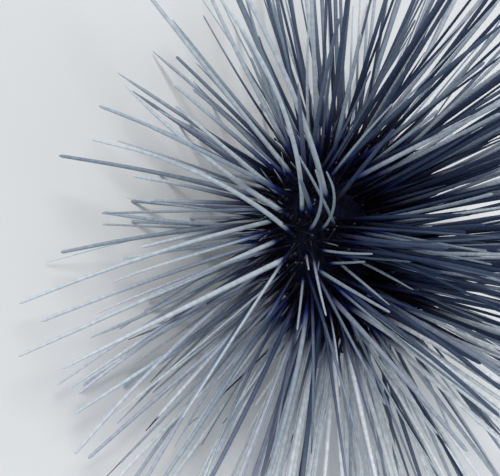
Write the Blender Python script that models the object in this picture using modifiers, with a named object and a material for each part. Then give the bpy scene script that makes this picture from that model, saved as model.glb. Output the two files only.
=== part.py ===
"""A long-spined sea urchin, life size, standing on its oral spines.

The urchin stands on the floor at z = 0 with its mouth down and its anal cone up. Its round shell, the test,
is five wide interambulacra and five narrow ambulacra, each a gore of plates that carries its own spines.
The side that faces -Y is the front, where the spines part and a few bend aside.
All sizes are in metres.
"""

import math
import random
from collections import namedtuple

import bmesh
import bpy
import numpy as np
from mathutils import Vector

MODEL_NAME = "long_spined_sea_urchin"

# The test's axis stands here, so that the middle of the spines' outline is the origin
AXIS_PLACE = (-0.0067, -0.0154, 0.0)

# Test
TEST_RADIUS = 0.036
ABORAL_HEIGHT = 0.020
ORAL_HEIGHT = 0.015
AMBITUS_HEIGHT = 0.045
FULLNESS = 2.25
APICAL_RADIUS = 0.0078
PERISTOME_RADIUS = 0.0165
CORE_RADIUS = 0.0042
RIM_DEPTH = 0.0022
JOINT_GAP = 0.0003
ROWS = 15
PROFILE_SAMPLES = 400
SECTORS = 5
SECTOR_ANGLE = math.radians(360 / SECTORS)
AMBULACRUM_SPAN = math.radians(23)
AMBULACRUM_COLUMNS = 2
INTERAMBULACRUM_COLUMNS = 4
BARE_ROWS = 4
STAGGER = 0.0006

# Spines
FRONT_AZIMUTH = math.radians(-90)
FRONT_ELEVATION = math.radians(40)
PARTING_ANGLE = math.radians(20)
PARTING_REACH = math.radians(75)
SHORT_ANGLE = math.radians(25)
FULL_ANGLE = math.radians(58)
SHORT_SHARE = 0.38
NEAR_SHARE = 0.80
AMBULACRAL_SHARE = 0.90
TIP_RADIUS = 0.00064
FOOT_RADIUS = 0.00070
TIP_CLEARANCE = 0.0012
SPINE_GAP = 0.0004
SWING = math.radians(5)
WIDEST_SWING = math.radians(14)
LEAST_FLATNESS = 0.3
SHORT_CHANCE = 0.30
SHORT_SHARES = (0.45, 0.78)
FULL_SHARES = (0.84, 1.08)
SHORT_SIDE = math.radians(-132)
SHORT_SIDE_SPREAD = math.radians(36)
SHORT_SIDE_CUT = 0.30
LEANING_SIDE = math.radians(-102)
LEANING_SPREAD = math.radians(36)
LEAN = math.radians(16)
TRIES = 40
FULL_LENGTH_TRIES = 20
SHORTENING = 0.85
BEND_STEPS = 5
SEED = 8
STANDING_ROWS = (12, 13)
ROOT_INSET = 0.0002

# Share of the way from the apical disc to the mouth, elevation in degrees, length and root radius
SPINE_RULES = (
    (0.00, 84, 0.060, 0.00080),
    (0.12, 78, 0.100, 0.00092),
    (0.28, 67, 0.145, 0.00106),
    (0.42, 48, 0.160, 0.00116),
    (0.50, 22, 0.155, 0.00116),
    (0.58, 3, 0.148, 0.00114),
    (0.65, -9, 0.140, 0.00112),
    (0.72, -14, 0.130, 0.00110),
    (0.79, -19, 0.118, 0.00106),
    (0.86, -50, 0.040, 0.00102),
    (0.92, -64, 0.036, 0.00100),
    (1.00, -78, 0.018, 0.00090),
)

# Spines that are held apart from the rule, at the front: the plate they stand on, and where they point.
# The clock is the angle about the front from the upward slope, turning to -X, at the root and the tip.
# The tilt is the angle away from the front, at the root and the tip. The stoutness is on top of the rule's.
Held = namedtuple("Held", "gore row column root_clock tip_clock root_tilt tip_tilt length stoutness")
HELD_SPINES = (
    Held("interambulacrum_5", 6, 3, 72, 120, 26, 62, 0.105, 1.15),
    Held("ambulacrum_1", 6, 0, 28, 104, 30, 46, 0.040, 1.15),
    Held("ambulacrum_1", 5, 0, 20, 112, 30, 44, 0.040, 1.15),
    Held("ambulacrum_1", 3, 0, 102, 112, 38, 56, 0.044, 0.95),
    Held("interambulacrum_5", 4, 2, 92, 114, 42, 66, 0.116, 1.30),
    Held("interambulacrum_5", 7, 3, 138, 124, 52, 62, 0.084, 1.20),
    Held("ambulacrum_1", 7, 0, 126, 160, 44, 68, 0.090, 1.05),
    Held("ambulacrum_1", 8, 0, 195, 195, 50, 60, 0.112, 1.10),
    Held("interambulacrum_5", 8, 3, 184, 194, 54, 62, 0.106, 1.05),
    Held("interambulacrum_5", 8, 2, 130, 129, 60, 70, 0.057, 1.20),
    Held("interambulacrum_5", 7, 1, 119, 117, 60, 72, 0.135, 1.05),
    Held("ambulacrum_1", 7, 1, 196, 197, 50, 62, 0.100, 1.30),
    Held("interambulacrum_4", 5, 3, 50, 46, 50, 78, 0.100, 1.05),
    Held("ambulacrum_1", 5, 1, 340, 352, 34, 46, 0.032, 0.80),
    Held("interambulacrum_1", 5, 0, 352, 356, 34, 44, 0.024, 0.80),
    Held("interambulacrum_1", 3, 0, 328, 320, 36, 44, 0.042, 0.80),
    Held("interambulacrum_1", 4, 0, 312, 312, 30, 42, 0.042, 0.80),
    Held("interambulacrum_1", 6, 0, 322, 324, 30, 40, 0.052, 0.90),
    Held("ambulacrum_1", 6, 1, 280, 276, 14, 20, 0.022, 0.75),
    Held("interambulacrum_1", 7, 0, 258, 254, 36, 50, 0.030, 0.80),
)

# Apical disc, anal cone and mouth
DISC_RADIUS = APICAL_RADIUS - JOINT_GAP
DISC_BOTTOM = 0.0632
DISC_RISE = 0.0004
PERIPROCT_RADIUS = 0.0034
OCULAR_SPAN = math.radians(27)
MADREPORITE_SECTOR = 2
MADREPORITE_SWELL = 0.0006
CONE_RADIUS = 0.0031
CONE_TOP = 0.0702
MOUTH_RADIUS = 0.0045
MOUTH_HEIGHT = 0.0292
MEMBRANE_THICKNESS = 0.0018
TOOTH_RADIUS = 0.0040
TOOTH_TIP_RADIUS = 0.0006
TOOTH_TIP_HEIGHT = 0.0270
ROUND_STEPS = 20
WELD_DISTANCE = 0.00005

SHELL_COLOUR = (0.012, 0.012, 0.022)
SPINE_COLOUR = (0.300, 0.335, 0.395)
DISC_COLOUR = (0.020, 0.022, 0.040)
CONE_COLOUR = (0.030, 0.024, 0.028)
MOUTH_COLOUR = (0.040, 0.022, 0.026)
TOOTH_COLOUR = (0.800, 0.780, 0.720)

Gore = namedtuple("Gore", "name middle span columns ambulacral")
Seat = namedtuple("Seat", "gore row column place azimuth down")
Spine = namedtuple("Spine", "points radii")


def unit_vector(azimuth, elevation):
    """Direction with the azimuth from +X and the elevation above the floor."""
    flat = math.cos(elevation)
    return np.array([flat * math.cos(azimuth), flat * math.sin(azimuth), math.sin(elevation)])


def profile_at(angle):
    """Radius and height of the test at an angle from its top, on a full, flattened oval."""
    power = 2 / FULLNESS
    radius = TEST_RADIUS * abs(math.sin(angle)) ** power
    half_height = ABORAL_HEIGHT if angle < math.pi / 2 else ORAL_HEIGHT
    rise = half_height * math.copysign(abs(math.cos(angle)) ** power, math.cos(angle))
    return radius, AMBITUS_HEIGHT + rise


def rim_angle(radius):
    """Angle from the top at which the test has this radius."""
    return math.asin((radius / TEST_RADIUS) ** (FULLNESS / 2))


def even_profile(steps):
    """Radius and height at even steps along the test, from the apical disc to the mouth's membrane."""
    first = rim_angle(APICAL_RADIUS)
    last = math.pi - rim_angle(PERISTOME_RADIUS)
    angles = np.linspace(first, last, PROFILE_SAMPLES + 1)
    fine = np.array([profile_at(angle) for angle in angles])
    pieces = np.hypot(*np.diff(fine, axis=0).T)
    travelled = np.concatenate([[0.0], np.cumsum(pieces)])
    wanted = np.linspace(0.0, travelled[-1], steps + 1)
    radii = np.interp(wanted, travelled, fine[:, 0])
    heights = np.interp(wanted, travelled, fine[:, 1])
    return [(float(r), float(z)) for r, z in zip(radii, heights)]


def gores():
    """The ten gores of the test, in turn round it from the front."""
    listed = []
    for k in range(SECTORS):
        middle = FRONT_AZIMUTH + SECTOR_ANGLE * k
        listed.append(Gore(f"ambulacrum_{k + 1}", middle, AMBULACRUM_SPAN, AMBULACRUM_COLUMNS, True))
        middle += SECTOR_ANGLE / 2
        span = SECTOR_ANGLE - AMBULACRUM_SPAN
        listed.append(Gore(f"interambulacrum_{k + 1}", middle, span, INTERAMBULACRUM_COLUMNS, False))
    return listed


def gore_seats(gore, profile):
    """The plates of a gore that carry a spine. The upper middle of a wide gore is bare."""
    seats = []
    for row in range(ROWS):
        (upper_radius, upper_height), (lower_radius, lower_height) = profile[row], profile[row + 1]
        run = math.hypot(lower_radius - upper_radius, lower_height - upper_height)
        for column in range(gore.columns):
            inner = 0 < column < gore.columns - 1
            if inner and row < BARE_ROWS:
                continue
            share = 0.5 + (STAGGER if column % 2 else -STAGGER) / run
            radius = upper_radius + (lower_radius - upper_radius) * share
            radius *= math.cos(gore.span / gore.columns / 2)
            height = upper_height + (lower_height - upper_height) * share
            azimuth = gore.middle + gore.span * ((column + 0.5) / gore.columns - 0.5)
            place = np.array([radius * math.cos(azimuth), radius * math.sin(azimuth), height])
            seats.append(Seat(gore, row, column, place, azimuth, (row + 0.5) / ROWS))
    return seats


def rule_at(down):
    """Elevation, length and root radius of a spine at a share of the way down the test."""
    places = [rule[0] for rule in SPINE_RULES]
    elevation, length, radius = (
        float(np.interp(down, places, [rule[k] for rule in SPINE_RULES])) for k in (1, 2, 3)
    )
    return math.radians(elevation), length, radius


def angle_between(first, second):
    """Angle between two directions."""
    return math.acos(max(-1.0, min(1.0, float(first @ second))))


def front():
    """Direction that the front faces."""
    return unit_vector(FRONT_AZIMUTH, FRONT_ELEVATION)


def about_front(clock, tilt):
    """Direction at a tilt from the front, at a clock angle from the upward slope to -X."""
    up_slope = unit_vector(FRONT_AZIMUTH, FRONT_ELEVATION + math.pi / 2)
    across = np.array([-1.0, 0.0, 0.0])
    side = up_slope * math.cos(clock) + across * math.sin(clock)
    return front() * math.cos(tilt) + side * math.sin(tilt)


def part_aside(direction):
    """Turns a direction away from the front, so that the spines part there."""
    angle = angle_between(direction, front())
    if angle > PARTING_REACH:
        return direction
    wanted = PARTING_ANGLE + (PARTING_REACH - PARTING_ANGLE) * angle / PARTING_REACH
    side = direction - front() * math.cos(angle)
    side /= np.linalg.norm(side)
    return front() * math.cos(wanted) + side * math.sin(wanted)


def front_share(direction):
    """Share of its usual length that a spine has, because those near the front are shorter."""
    angle = angle_between(direction, front())
    nearness = max(0.0, float(direction @ unit_vector(FRONT_AZIMUTH, 0.0)))
    share = 1.0 - (1.0 - NEAR_SHARE) * nearness
    return min(share, float(np.interp(angle, [SHORT_ANGLE, FULL_ANGLE], [SHORT_SHARE, 1.0])))


def side_share(direction):
    """Share of its usual length that a low spine has, because those to -X of the front are shorter."""
    heading = math.atan2(direction[1], direction[0])
    off = math.remainder(heading - SHORT_SIDE, 2 * math.pi)
    flatness = 1.0 - float(direction[2]) ** 2
    return 1.0 - SHORT_SIDE_CUT * flatness * math.exp(-((off / SHORT_SIDE_SPREAD) ** 2))


def leaned(azimuth):
    """Heading of a spine on this side of the test: those at the front lean to +X, and stand closer there."""
    off = math.remainder(azimuth - LEANING_SIDE, 2 * math.pi)
    return azimuth + LEAN * math.exp(-((off / LEANING_SPREAD) ** 2))


def reach_of(place, direction, floor):
    """Length at which a falling spine comes down to a height."""
    if direction[2] >= 0.0:
        return math.inf
    return (place[2] - floor) / -float(direction[2])


def closest_gap(start, end, start_radius, end_radius, others):
    """Smallest gap between one tapered rod and many others."""
    starts, ends, start_radii, end_radii = others
    along = end - start
    alongs = ends - starts
    between = start - starts
    own_square = float(along @ along)
    squares = np.einsum("ij,ij->i", alongs, alongs)
    crossing = alongs @ along
    own_lead = between @ along
    leads = np.einsum("ij,ij->i", alongs, between)
    spread = np.maximum(own_square * squares - crossing**2, 1e-18)
    own_share = np.clip((crossing * leads - own_lead * squares) / spread, 0.0, 1.0)
    share = np.clip((crossing * own_share + leads) / squares, 0.0, 1.0)
    own_share = np.clip((crossing * share - own_lead) / own_square, 0.0, 1.0)
    apart = start + own_share[:, None] * along - starts - share[:, None] * alongs
    own_radius = start_radius + (end_radius - start_radius) * own_share
    radii = start_radii + (end_radii - start_radii) * share
    return float(np.min(np.linalg.norm(apart, axis=1) - own_radius - radii))


class Thicket:
    """The spines placed so far, as tapered rods, so that the next one can keep clear of them."""

    def __init__(self):
        self.rods = []

    def gap_to(self, spine):
        """Smallest gap between a spine and all those placed so far."""
        if not self.rods:
            return math.inf
        others = [np.array(column) for column in zip(*self.rods)]
        return min(closest_gap(*rod, others) for rod in rods_of(spine))

    def add(self, spine):
        """Places a spine."""
        self.rods.extend(rods_of(spine))


def rods_of(spine):
    """Start, end and radii of each straight stretch of a spine."""
    points, radii = spine
    return list(zip(points[:-1], points[1:], radii[:-1], radii[1:]))


def straight_spine(seat, direction, length, root_radius, tip_radius):
    """A spine of one straight stretch."""
    return Spine([seat.place, seat.place + direction * length], [root_radius, tip_radius])


def held_spine(seat, held, root_radius):
    """A spine that bends evenly from its root's direction to its tip's."""
    points = [seat.place]
    radii = [root_radius]
    for step in range(BEND_STEPS):
        share = (step + 0.5) / BEND_STEPS
        clock = math.radians(held.root_clock + (held.tip_clock - held.root_clock) * share)
        tilt = math.radians(held.root_tilt + (held.tip_tilt - held.root_tilt) * share)
        points.append(points[-1] + about_front(clock, tilt) * held.length / BEND_STEPS)
        radii.append(root_radius + (TIP_RADIUS - root_radius) * (step + 1) / BEND_STEPS)
    return Spine(points, radii)


def ruled_spine(seat, thicket, draw):
    """A spine that follows the rule for its place, swung a little so that it clears the others."""
    elevation, length, root_radius = rule_at(seat.down)
    if seat.gore.ambulacral:
        length *= AMBULACRAL_SHARE
        root_radius *= AMBULACRAL_SHARE
    length *= draw.uniform(*(SHORT_SHARES if draw.random() < SHORT_CHANCE else FULL_SHARES))
    standing = seat.row in STANDING_ROWS
    tip_radius = FOOT_RADIUS if standing else TIP_RADIUS
    best_gap, best = -math.inf, None
    for attempt in range(TRIES):
        swing = SWING + (WIDEST_SWING - SWING) * attempt / TRIES
        rise = elevation + draw.gauss(0, swing)
        heading = leaned(seat.azimuth) + draw.gauss(0, swing) / max(LEAST_FLATNESS, math.cos(rise))
        direction = part_aside(unit_vector(heading, rise))
        if standing:
            reach = reach_of(seat.place, direction, 0.0)
        else:
            reach = length * front_share(direction) * side_share(direction)
            reach *= SHORTENING ** max(0, attempt - FULL_LENGTH_TRIES)
            reach = min(reach, reach_of(seat.place, direction, TIP_CLEARANCE))
        spine = straight_spine(seat, direction, reach, root_radius, tip_radius)
        gap = thicket.gap_to(spine)
        if gap > best_gap:
            best_gap, best = gap, spine
        if gap > SPINE_GAP:
            break
    return best


def spine_plan():
    """Every spine, by its plate: the held ones first, then the others round them."""
    draw = random.Random(SEED)
    thicket = Thicket()
    profile = even_profile(ROWS)
    seats = [seat for gore in gores() for seat in gore_seats(gore, profile)]
    held_by_plate = {(held.gore, held.row, held.column): held for held in HELD_SPINES}
    plan = {}
    for seat in seats:
        plate = (seat.gore.name, seat.row, seat.column)
        if plate in held_by_plate:
            held = held_by_plate[plate]
            plan[plate] = held_spine(seat, held, rule_at(seat.down)[2] * held.stoutness)
            thicket.add(plan[plate])
    for seat in seats:
        plate = (seat.gore.name, seat.row, seat.column)
        if plate not in plan:
            plan[plate] = ruled_spine(seat, thicket, draw)
            thicket.add(plan[plate])
    return plan


def clear_scene():
    """Removes every object that the scene starts with."""
    for item in list(bpy.data.objects):
        bpy.data.objects.remove(item, do_unlink=True)


def new_material(name, colour, roughness):
    """A plain material with a colour and a roughness."""
    material = bpy.data.materials.new(name)
    material.use_nodes = True
    shader = material.node_tree.nodes["Principled BSDF"]
    shader.inputs["Base Color"].default_value = (*colour, 1.0)
    shader.inputs["Roughness"].default_value = roughness
    shader.inputs["Metallic"].default_value = 0.0
    return material


def add_object(name, mesh, collection, materials):
    """Puts a modelled mesh in the collection as a named object."""
    data = bpy.data.meshes.new(name)
    mesh.to_mesh(data)
    mesh.free()
    for material in materials:
        data.materials.append(material)
    item = bpy.data.objects.new(name, data)
    item.location = AXIS_PLACE
    collection.objects.link(item)


def turned_wedge(outline, middle, span, steps):
    """An outline of radii and heights turned through part of a circle, with half a joint's gap off each side."""
    mesh = bmesh.new()
    start = middle - span / 2
    corners = [mesh.verts.new((r * math.cos(start), r * math.sin(start), z)) for r, z in outline]
    section = mesh.faces.new(corners)
    swept = [section, *section.edges, *section.verts]
    bmesh.ops.spin(mesh, geom=swept, axis=(0, 0, 1), angle=span, steps=steps)
    bmesh.ops.recalc_face_normals(mesh, faces=mesh.faces)
    for side in (-1, 1):
        azimuth = middle + side * span / 2
        outward = Vector((-math.sin(azimuth), math.cos(azimuth), 0.0)) * side
        for corner in mesh.verts:
            if abs(corner.co @ outward) < JOINT_GAP / 10:
                corner.co -= outward * JOINT_GAP / 2
    return mesh


def add_turned(name, outline, collection, material):
    """An outline of radii and heights, from the top down its outer side, turned right round."""
    data = bpy.data.meshes.new(name)
    corners = [(r, 0.0, z) for r, z in outline]
    closed = outline[0][0] > 0.0
    count = len(corners)
    edges = [(k, (k + 1) % count) for k in range(count if closed else count - 1)]
    data.from_pydata(corners, edges, [])
    data.materials.append(material)
    item = bpy.data.objects.new(name, data)
    item.location = AXIS_PLACE
    collection.objects.link(item)
    screw = item.modifiers.new("turn", "SCREW")
    screw.axis = "Z"
    screw.steps = ROUND_STEPS
    screw.render_steps = ROUND_STEPS
    screw.use_merge_vertices = True
    screw.merge_threshold = WELD_DISTANCE


def ring_at(centre, direction, radius, corners):
    """Four places round a centre, square to a direction, in the order of a face's corners."""
    axis = Vector(direction).normalized()
    first = corners[0] - corners[2]
    first -= axis * first.dot(axis)
    first.normalize()
    second = axis.cross(first)
    if second.dot(corners[1] - corners[3]) < 0:
        second.negate()
    centre = Vector(centre)
    return [centre + side * radius for side in (first, second, -first, -second)]


def grow_spine(mesh, plate, spine, standing):
    """Shrinks a plate's face to the spine's root, and draws it out along the spine."""
    points, radii = spine
    corners = [corner.co.copy() for corner in plate.verts]
    normal = plate.normal.copy()
    bmesh.ops.inset_individual(mesh, faces=[plate], thickness=ROOT_INSET)
    for corner, place in zip(plate.verts, ring_at(points[0], normal, radii[0], corners)):
        corner.co = place
    face = plate
    for k in range(1, len(points)):
        along = points[min(k + 1, len(points) - 1)] - points[k - 1]
        ending = k == len(points) - 1
        facing = Vector((0, 0, -1)) if standing and ending else along
        face = bmesh.ops.extrude_discrete_faces(mesh, faces=[face])["faces"][0]
        for corner, place in zip(face.verts, ring_at(points[k], facing, radii[k], corners)):
            corner.co = place
        face.material_index = 1
        for edge in face.edges:
            for side in edge.link_faces:
                side.material_index = 1


def plate_of(mesh, place):
    """The face of a gore's mesh that lies nearest to a place on the test."""
    return min(mesh.faces, key=lambda face: (face.calc_center_median() - Vector(place)).length)


def make_gore(gore, profile, plan, collection, materials):
    """One gore of the test with the spines that grow from its plates."""
    shoulder = DISC_BOTTOM - JOINT_GAP
    rim = profile[-1][1] + RIM_DEPTH
    outline = [
        (CORE_RADIUS, shoulder),
        (APICAL_RADIUS, shoulder),
        *profile,
        (PERISTOME_RADIUS, rim),
        (CORE_RADIUS, rim),
    ]
    mesh = turned_wedge(outline, gore.middle, gore.span, gore.columns)
    mesh.normal_update()
    rooted = []
    for seat in gore_seats(gore, profile):
        spine = plan[(gore.name, seat.row, seat.column)]
        rooted.append((plate_of(mesh, seat.place), spine, seat.row in STANDING_ROWS))
    for plate, spine, standing in rooted:
        grow_spine(mesh, plate, spine, standing)
    add_object(gore.name, mesh, collection, materials)


def make_apical_disc(collection, material):
    """The ten plates round the anal cone: five genital ones, of which one is the madreporite, and five ocular."""
    top = even_profile(ROWS)[0][1] + DISC_RISE
    for k in range(SECTORS):
        ocular_middle = FRONT_AZIMUTH + SECTOR_ANGLE * k
        genital_middle = ocular_middle + SECTOR_ANGLE / 2
        is_madreporite = k + 1 == MADREPORITE_SECTOR
        swell = MADREPORITE_SWELL if is_madreporite else 0.0
        genital_name = "madreporite" if is_madreporite else f"genital_plate_{k + 1}"
        genital_outline = [
            (PERIPROCT_RADIUS, DISC_BOTTOM),
            (PERIPROCT_RADIUS, top),
            ((PERIPROCT_RADIUS + DISC_RADIUS) / 2, top + DISC_RISE + swell),
            (DISC_RADIUS, top - DISC_RISE),
            (DISC_RADIUS, DISC_BOTTOM),
        ]
        ocular_outline = [
            (PERIPROCT_RADIUS, DISC_BOTTOM),
            (PERIPROCT_RADIUS, top - DISC_RISE),
            (DISC_RADIUS, top - DISC_RISE),
            (DISC_RADIUS, DISC_BOTTOM),
        ]
        genital = turned_wedge(genital_outline, genital_middle, SECTOR_ANGLE - OCULAR_SPAN, 2)
        add_object(genital_name, genital, collection, [material])
        ocular = turned_wedge(ocular_outline, ocular_middle, OCULAR_SPAN, 1)
        add_object(f"ocular_plate_{k + 1}", ocular, collection, [material])


def make_anal_cone(collection, material):
    """The soft cone in the middle of the apical disc."""
    base = even_profile(ROWS)[0][1]
    rise = CONE_TOP - base
    outline = [
        (0.0, CONE_TOP),
        (CONE_RADIUS * 0.30, CONE_TOP - rise * 0.03),
        (CONE_RADIUS * 0.55, base + rise * 0.72),
        (CONE_RADIUS * 0.85, base + rise * 0.35),
        (CONE_RADIUS, base),
        (CONE_RADIUS, DISC_BOTTOM),
        (0.0, DISC_BOTTOM),
    ]
    add_turned("anal_cone", outline, collection, material)


def make_mouth(collection, membrane_material, tooth_material):
    """The membrane round the mouth, and the tips of the five teeth in it."""
    rim_height = even_profile(ROWS)[-1][1]
    top = rim_height + RIM_DEPTH - JOINT_GAP
    outer = PERISTOME_RADIUS - JOINT_GAP
    sag = (outer + MOUTH_RADIUS) / 2
    outline = [
        (outer, top),
        (outer, rim_height),
        (sag, (rim_height + MOUTH_HEIGHT) / 2),
        (MOUTH_RADIUS, MOUTH_HEIGHT),
        (MOUTH_RADIUS, MOUTH_HEIGHT + MEMBRANE_THICKNESS),
    ]
    add_turned("peristome", outline, collection, membrane_material)
    tooth_outline = [
        (TOOTH_TIP_RADIUS, TOOTH_TIP_HEIGHT),
        (TOOTH_RADIUS, MOUTH_HEIGHT + MEMBRANE_THICKNESS / 2),
        (TOOTH_RADIUS, top),
        (TOOTH_TIP_RADIUS, top),
    ]
    for k in range(SECTORS):
        tooth = turned_wedge(tooth_outline, FRONT_AZIMUTH + SECTOR_ANGLE * k, SECTOR_ANGLE, 2)
        add_object(f"tooth_{k + 1}", tooth, collection, [tooth_material])


def main():
    clear_scene()
    collection = bpy.data.collections.new(MODEL_NAME)
    bpy.context.scene.collection.children.link(collection)
    shell = new_material("shell", SHELL_COLOUR, 0.55)
    spine = new_material("spine", SPINE_COLOUR, 0.45)
    disc = new_material("apical_disc", DISC_COLOUR, 0.50)
    cone = new_material("anal_cone", CONE_COLOUR, 0.50)
    membrane = new_material("membrane", MOUTH_COLOUR, 0.50)
    tooth = new_material("tooth", TOOTH_COLOUR, 0.30)
    profile = even_profile(ROWS)
    plan = spine_plan()
    for gore in gores():
        make_gore(gore, profile, plan, collection, [shell, spine])
    make_apical_disc(collection, disc)
    make_anal_cone(collection, cone)
    make_mouth(collection, membrane, tooth)


main()
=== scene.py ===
"""Looks of the long-spined sea urchin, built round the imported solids.

The test is covered by one dark skin. Every spine is a round shaft with whorls of fine teeth, on the solids'
own rods, and thinner spines, tube feet and gills stand between them.
The camera looks at the front, the side that faces -Y, from 40 degrees above the floor. It is rolled, so that
the upper pole points to the right of the picture.
All sizes are in metres, in the model's frame. The shapes are worked out round the test's axis.
"""

import math
import random
from collections import namedtuple

import bpy
import numpy as np
from mathutils import Matrix, Vector


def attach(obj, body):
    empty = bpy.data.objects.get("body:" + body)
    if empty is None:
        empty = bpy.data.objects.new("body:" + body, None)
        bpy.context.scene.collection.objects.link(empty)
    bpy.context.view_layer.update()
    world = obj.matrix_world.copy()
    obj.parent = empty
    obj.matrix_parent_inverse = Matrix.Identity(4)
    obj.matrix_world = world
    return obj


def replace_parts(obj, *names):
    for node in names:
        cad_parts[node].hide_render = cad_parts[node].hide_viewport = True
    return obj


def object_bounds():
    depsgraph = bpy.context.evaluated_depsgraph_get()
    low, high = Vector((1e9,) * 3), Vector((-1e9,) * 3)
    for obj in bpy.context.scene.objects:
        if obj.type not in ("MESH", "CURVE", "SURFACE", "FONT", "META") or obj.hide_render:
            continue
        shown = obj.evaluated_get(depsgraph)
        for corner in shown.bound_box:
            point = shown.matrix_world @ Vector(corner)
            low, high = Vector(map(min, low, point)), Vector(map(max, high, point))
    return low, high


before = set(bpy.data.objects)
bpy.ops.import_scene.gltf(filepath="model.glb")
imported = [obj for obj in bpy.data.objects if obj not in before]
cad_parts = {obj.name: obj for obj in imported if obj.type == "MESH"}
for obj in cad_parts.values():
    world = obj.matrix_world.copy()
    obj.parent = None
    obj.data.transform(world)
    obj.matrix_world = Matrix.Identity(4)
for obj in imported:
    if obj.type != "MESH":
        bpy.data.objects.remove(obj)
CAD_BOX = [list(corner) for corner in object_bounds()]
TINY = 1e-18

# Camera
PHOTO_WIDTH, PHOTO_HEIGHT = 500, 476
FOCAL_PIXELS = 976
SENSOR_WIDTH = 36.0
VIEW_DISTANCE = 0.40
VIEW_ROLL = math.radians(80)
NEAREST_SEEN = 0.01
TARGET_HEIGHT = 0.047
TARGET_PIXEL = (345, 236)

# Test, as in the solids
AXIS_PLACE = (-0.0067, -0.0154, 0.0)
TEST_RADIUS = 0.036
ABORAL_HEIGHT = 0.020
ORAL_HEIGHT = 0.015
AMBITUS_HEIGHT = 0.045
FULLNESS = 2.25
APICAL_RADIUS = 0.0078
PERISTOME_RADIUS = 0.0165
JOINT_GAP = 0.0003
ROWS = 15
PROFILE_SAMPLES = 400
SECTORS = 5
SECTOR_ANGLE = math.radians(360 / SECTORS)
AMBULACRUM_SPAN = math.radians(23)
INTERAMBULACRUM_SPAN = SECTOR_ANGLE - AMBULACRUM_SPAN
AMBULACRUM_COLUMNS = 2
INTERAMBULACRUM_COLUMNS = 4
BARE_ROWS = 4
STAGGER = 0.0006

# Apical disc and mouth, as in the solids
DISC_RADIUS = APICAL_RADIUS - JOINT_GAP
DISC_BOTTOM = 0.0632
PERIPROCT_RADIUS = 0.0034
OCULAR_SPAN = math.radians(27)
MADREPORITE_SECTOR = 2
CONE_RADIUS = 0.0031
CONE_TOP = 0.0702
MOUTH_RADIUS = 0.0045
MOUTH_HEIGHT = 0.0292

# Stretches round the test that differ: azimuth of the middle, and spread, in degrees
Side = namedtuple("Side", "middle spread")
SHORT_SIDE = Side(-132, 36)
LEANING_SIDE = Side(-102, 36)
# painted light: the low spines on this side are painted paler, as where more light falls on them
PAINTED_LIGHT_SIDE = Side(-14, 38)
NEEDLED_SIDE = Side(-40, 24)
FAN_SIDE = Side(-52, 42)
# painted light: the low spines on these sides get brighter tips and fewer dim ones, as where more light falls
# on them
LIT_SIDES = (Side(-92, 44), Side(98, 58))
STOUT_SIDES = (PAINTED_LIGHT_SIDE, LIT_SIDES[0])

# Spines, as in the solids
FRONT_AZIMUTH = math.radians(-90)
FRONT_ELEVATION = math.radians(40)
PARTING_ANGLE = math.radians(20)
PARTING_REACH = math.radians(75)
SHORT_ANGLE = math.radians(25)
FULL_ANGLE = math.radians(58)
SHORT_SHARE = 0.38
NEAR_SHARE = 0.80
AMBULACRAL_SHARE = 0.90
TIP_RADIUS = 0.00064
FOOT_RADIUS = 0.00070
TIP_CLEARANCE = 0.0012
SPINE_GAP = 0.0004
SWING = math.radians(5)
WIDEST_SWING = math.radians(14)
LEAST_FLATNESS = 0.3
SHORT_CHANCE = 0.30
SHORT_SHARES = (0.45, 0.78)
FULL_SHARES = (0.84, 1.08)
SHORT_SIDE_CUT = 0.30
LEAN = math.radians(16)
TRIES = 40
FULL_LENGTH_TRIES = 20
SHORTENING = 0.85
BEND_STEPS = 5
SEED = 8
STANDING_ROWS = (12, 13)

# Share of the way from the apical disc to the mouth, elevation in degrees, length and root radius
SPINE_RULES = (
    (0.00, 84, 0.060, 0.00080),
    (0.12, 78, 0.100, 0.00092),
    (0.28, 67, 0.145, 0.00106),
    (0.42, 48, 0.160, 0.00116),
    (0.50, 22, 0.155, 0.00116),
    (0.58, 3, 0.148, 0.00114),
    (0.65, -9, 0.140, 0.00112),
    (0.72, -14, 0.130, 0.00110),
    (0.79, -19, 0.118, 0.00106),
    (0.86, -50, 0.040, 0.00102),
    (0.92, -64, 0.036, 0.00100),
    (1.00, -78, 0.018, 0.00090),
)

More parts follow.
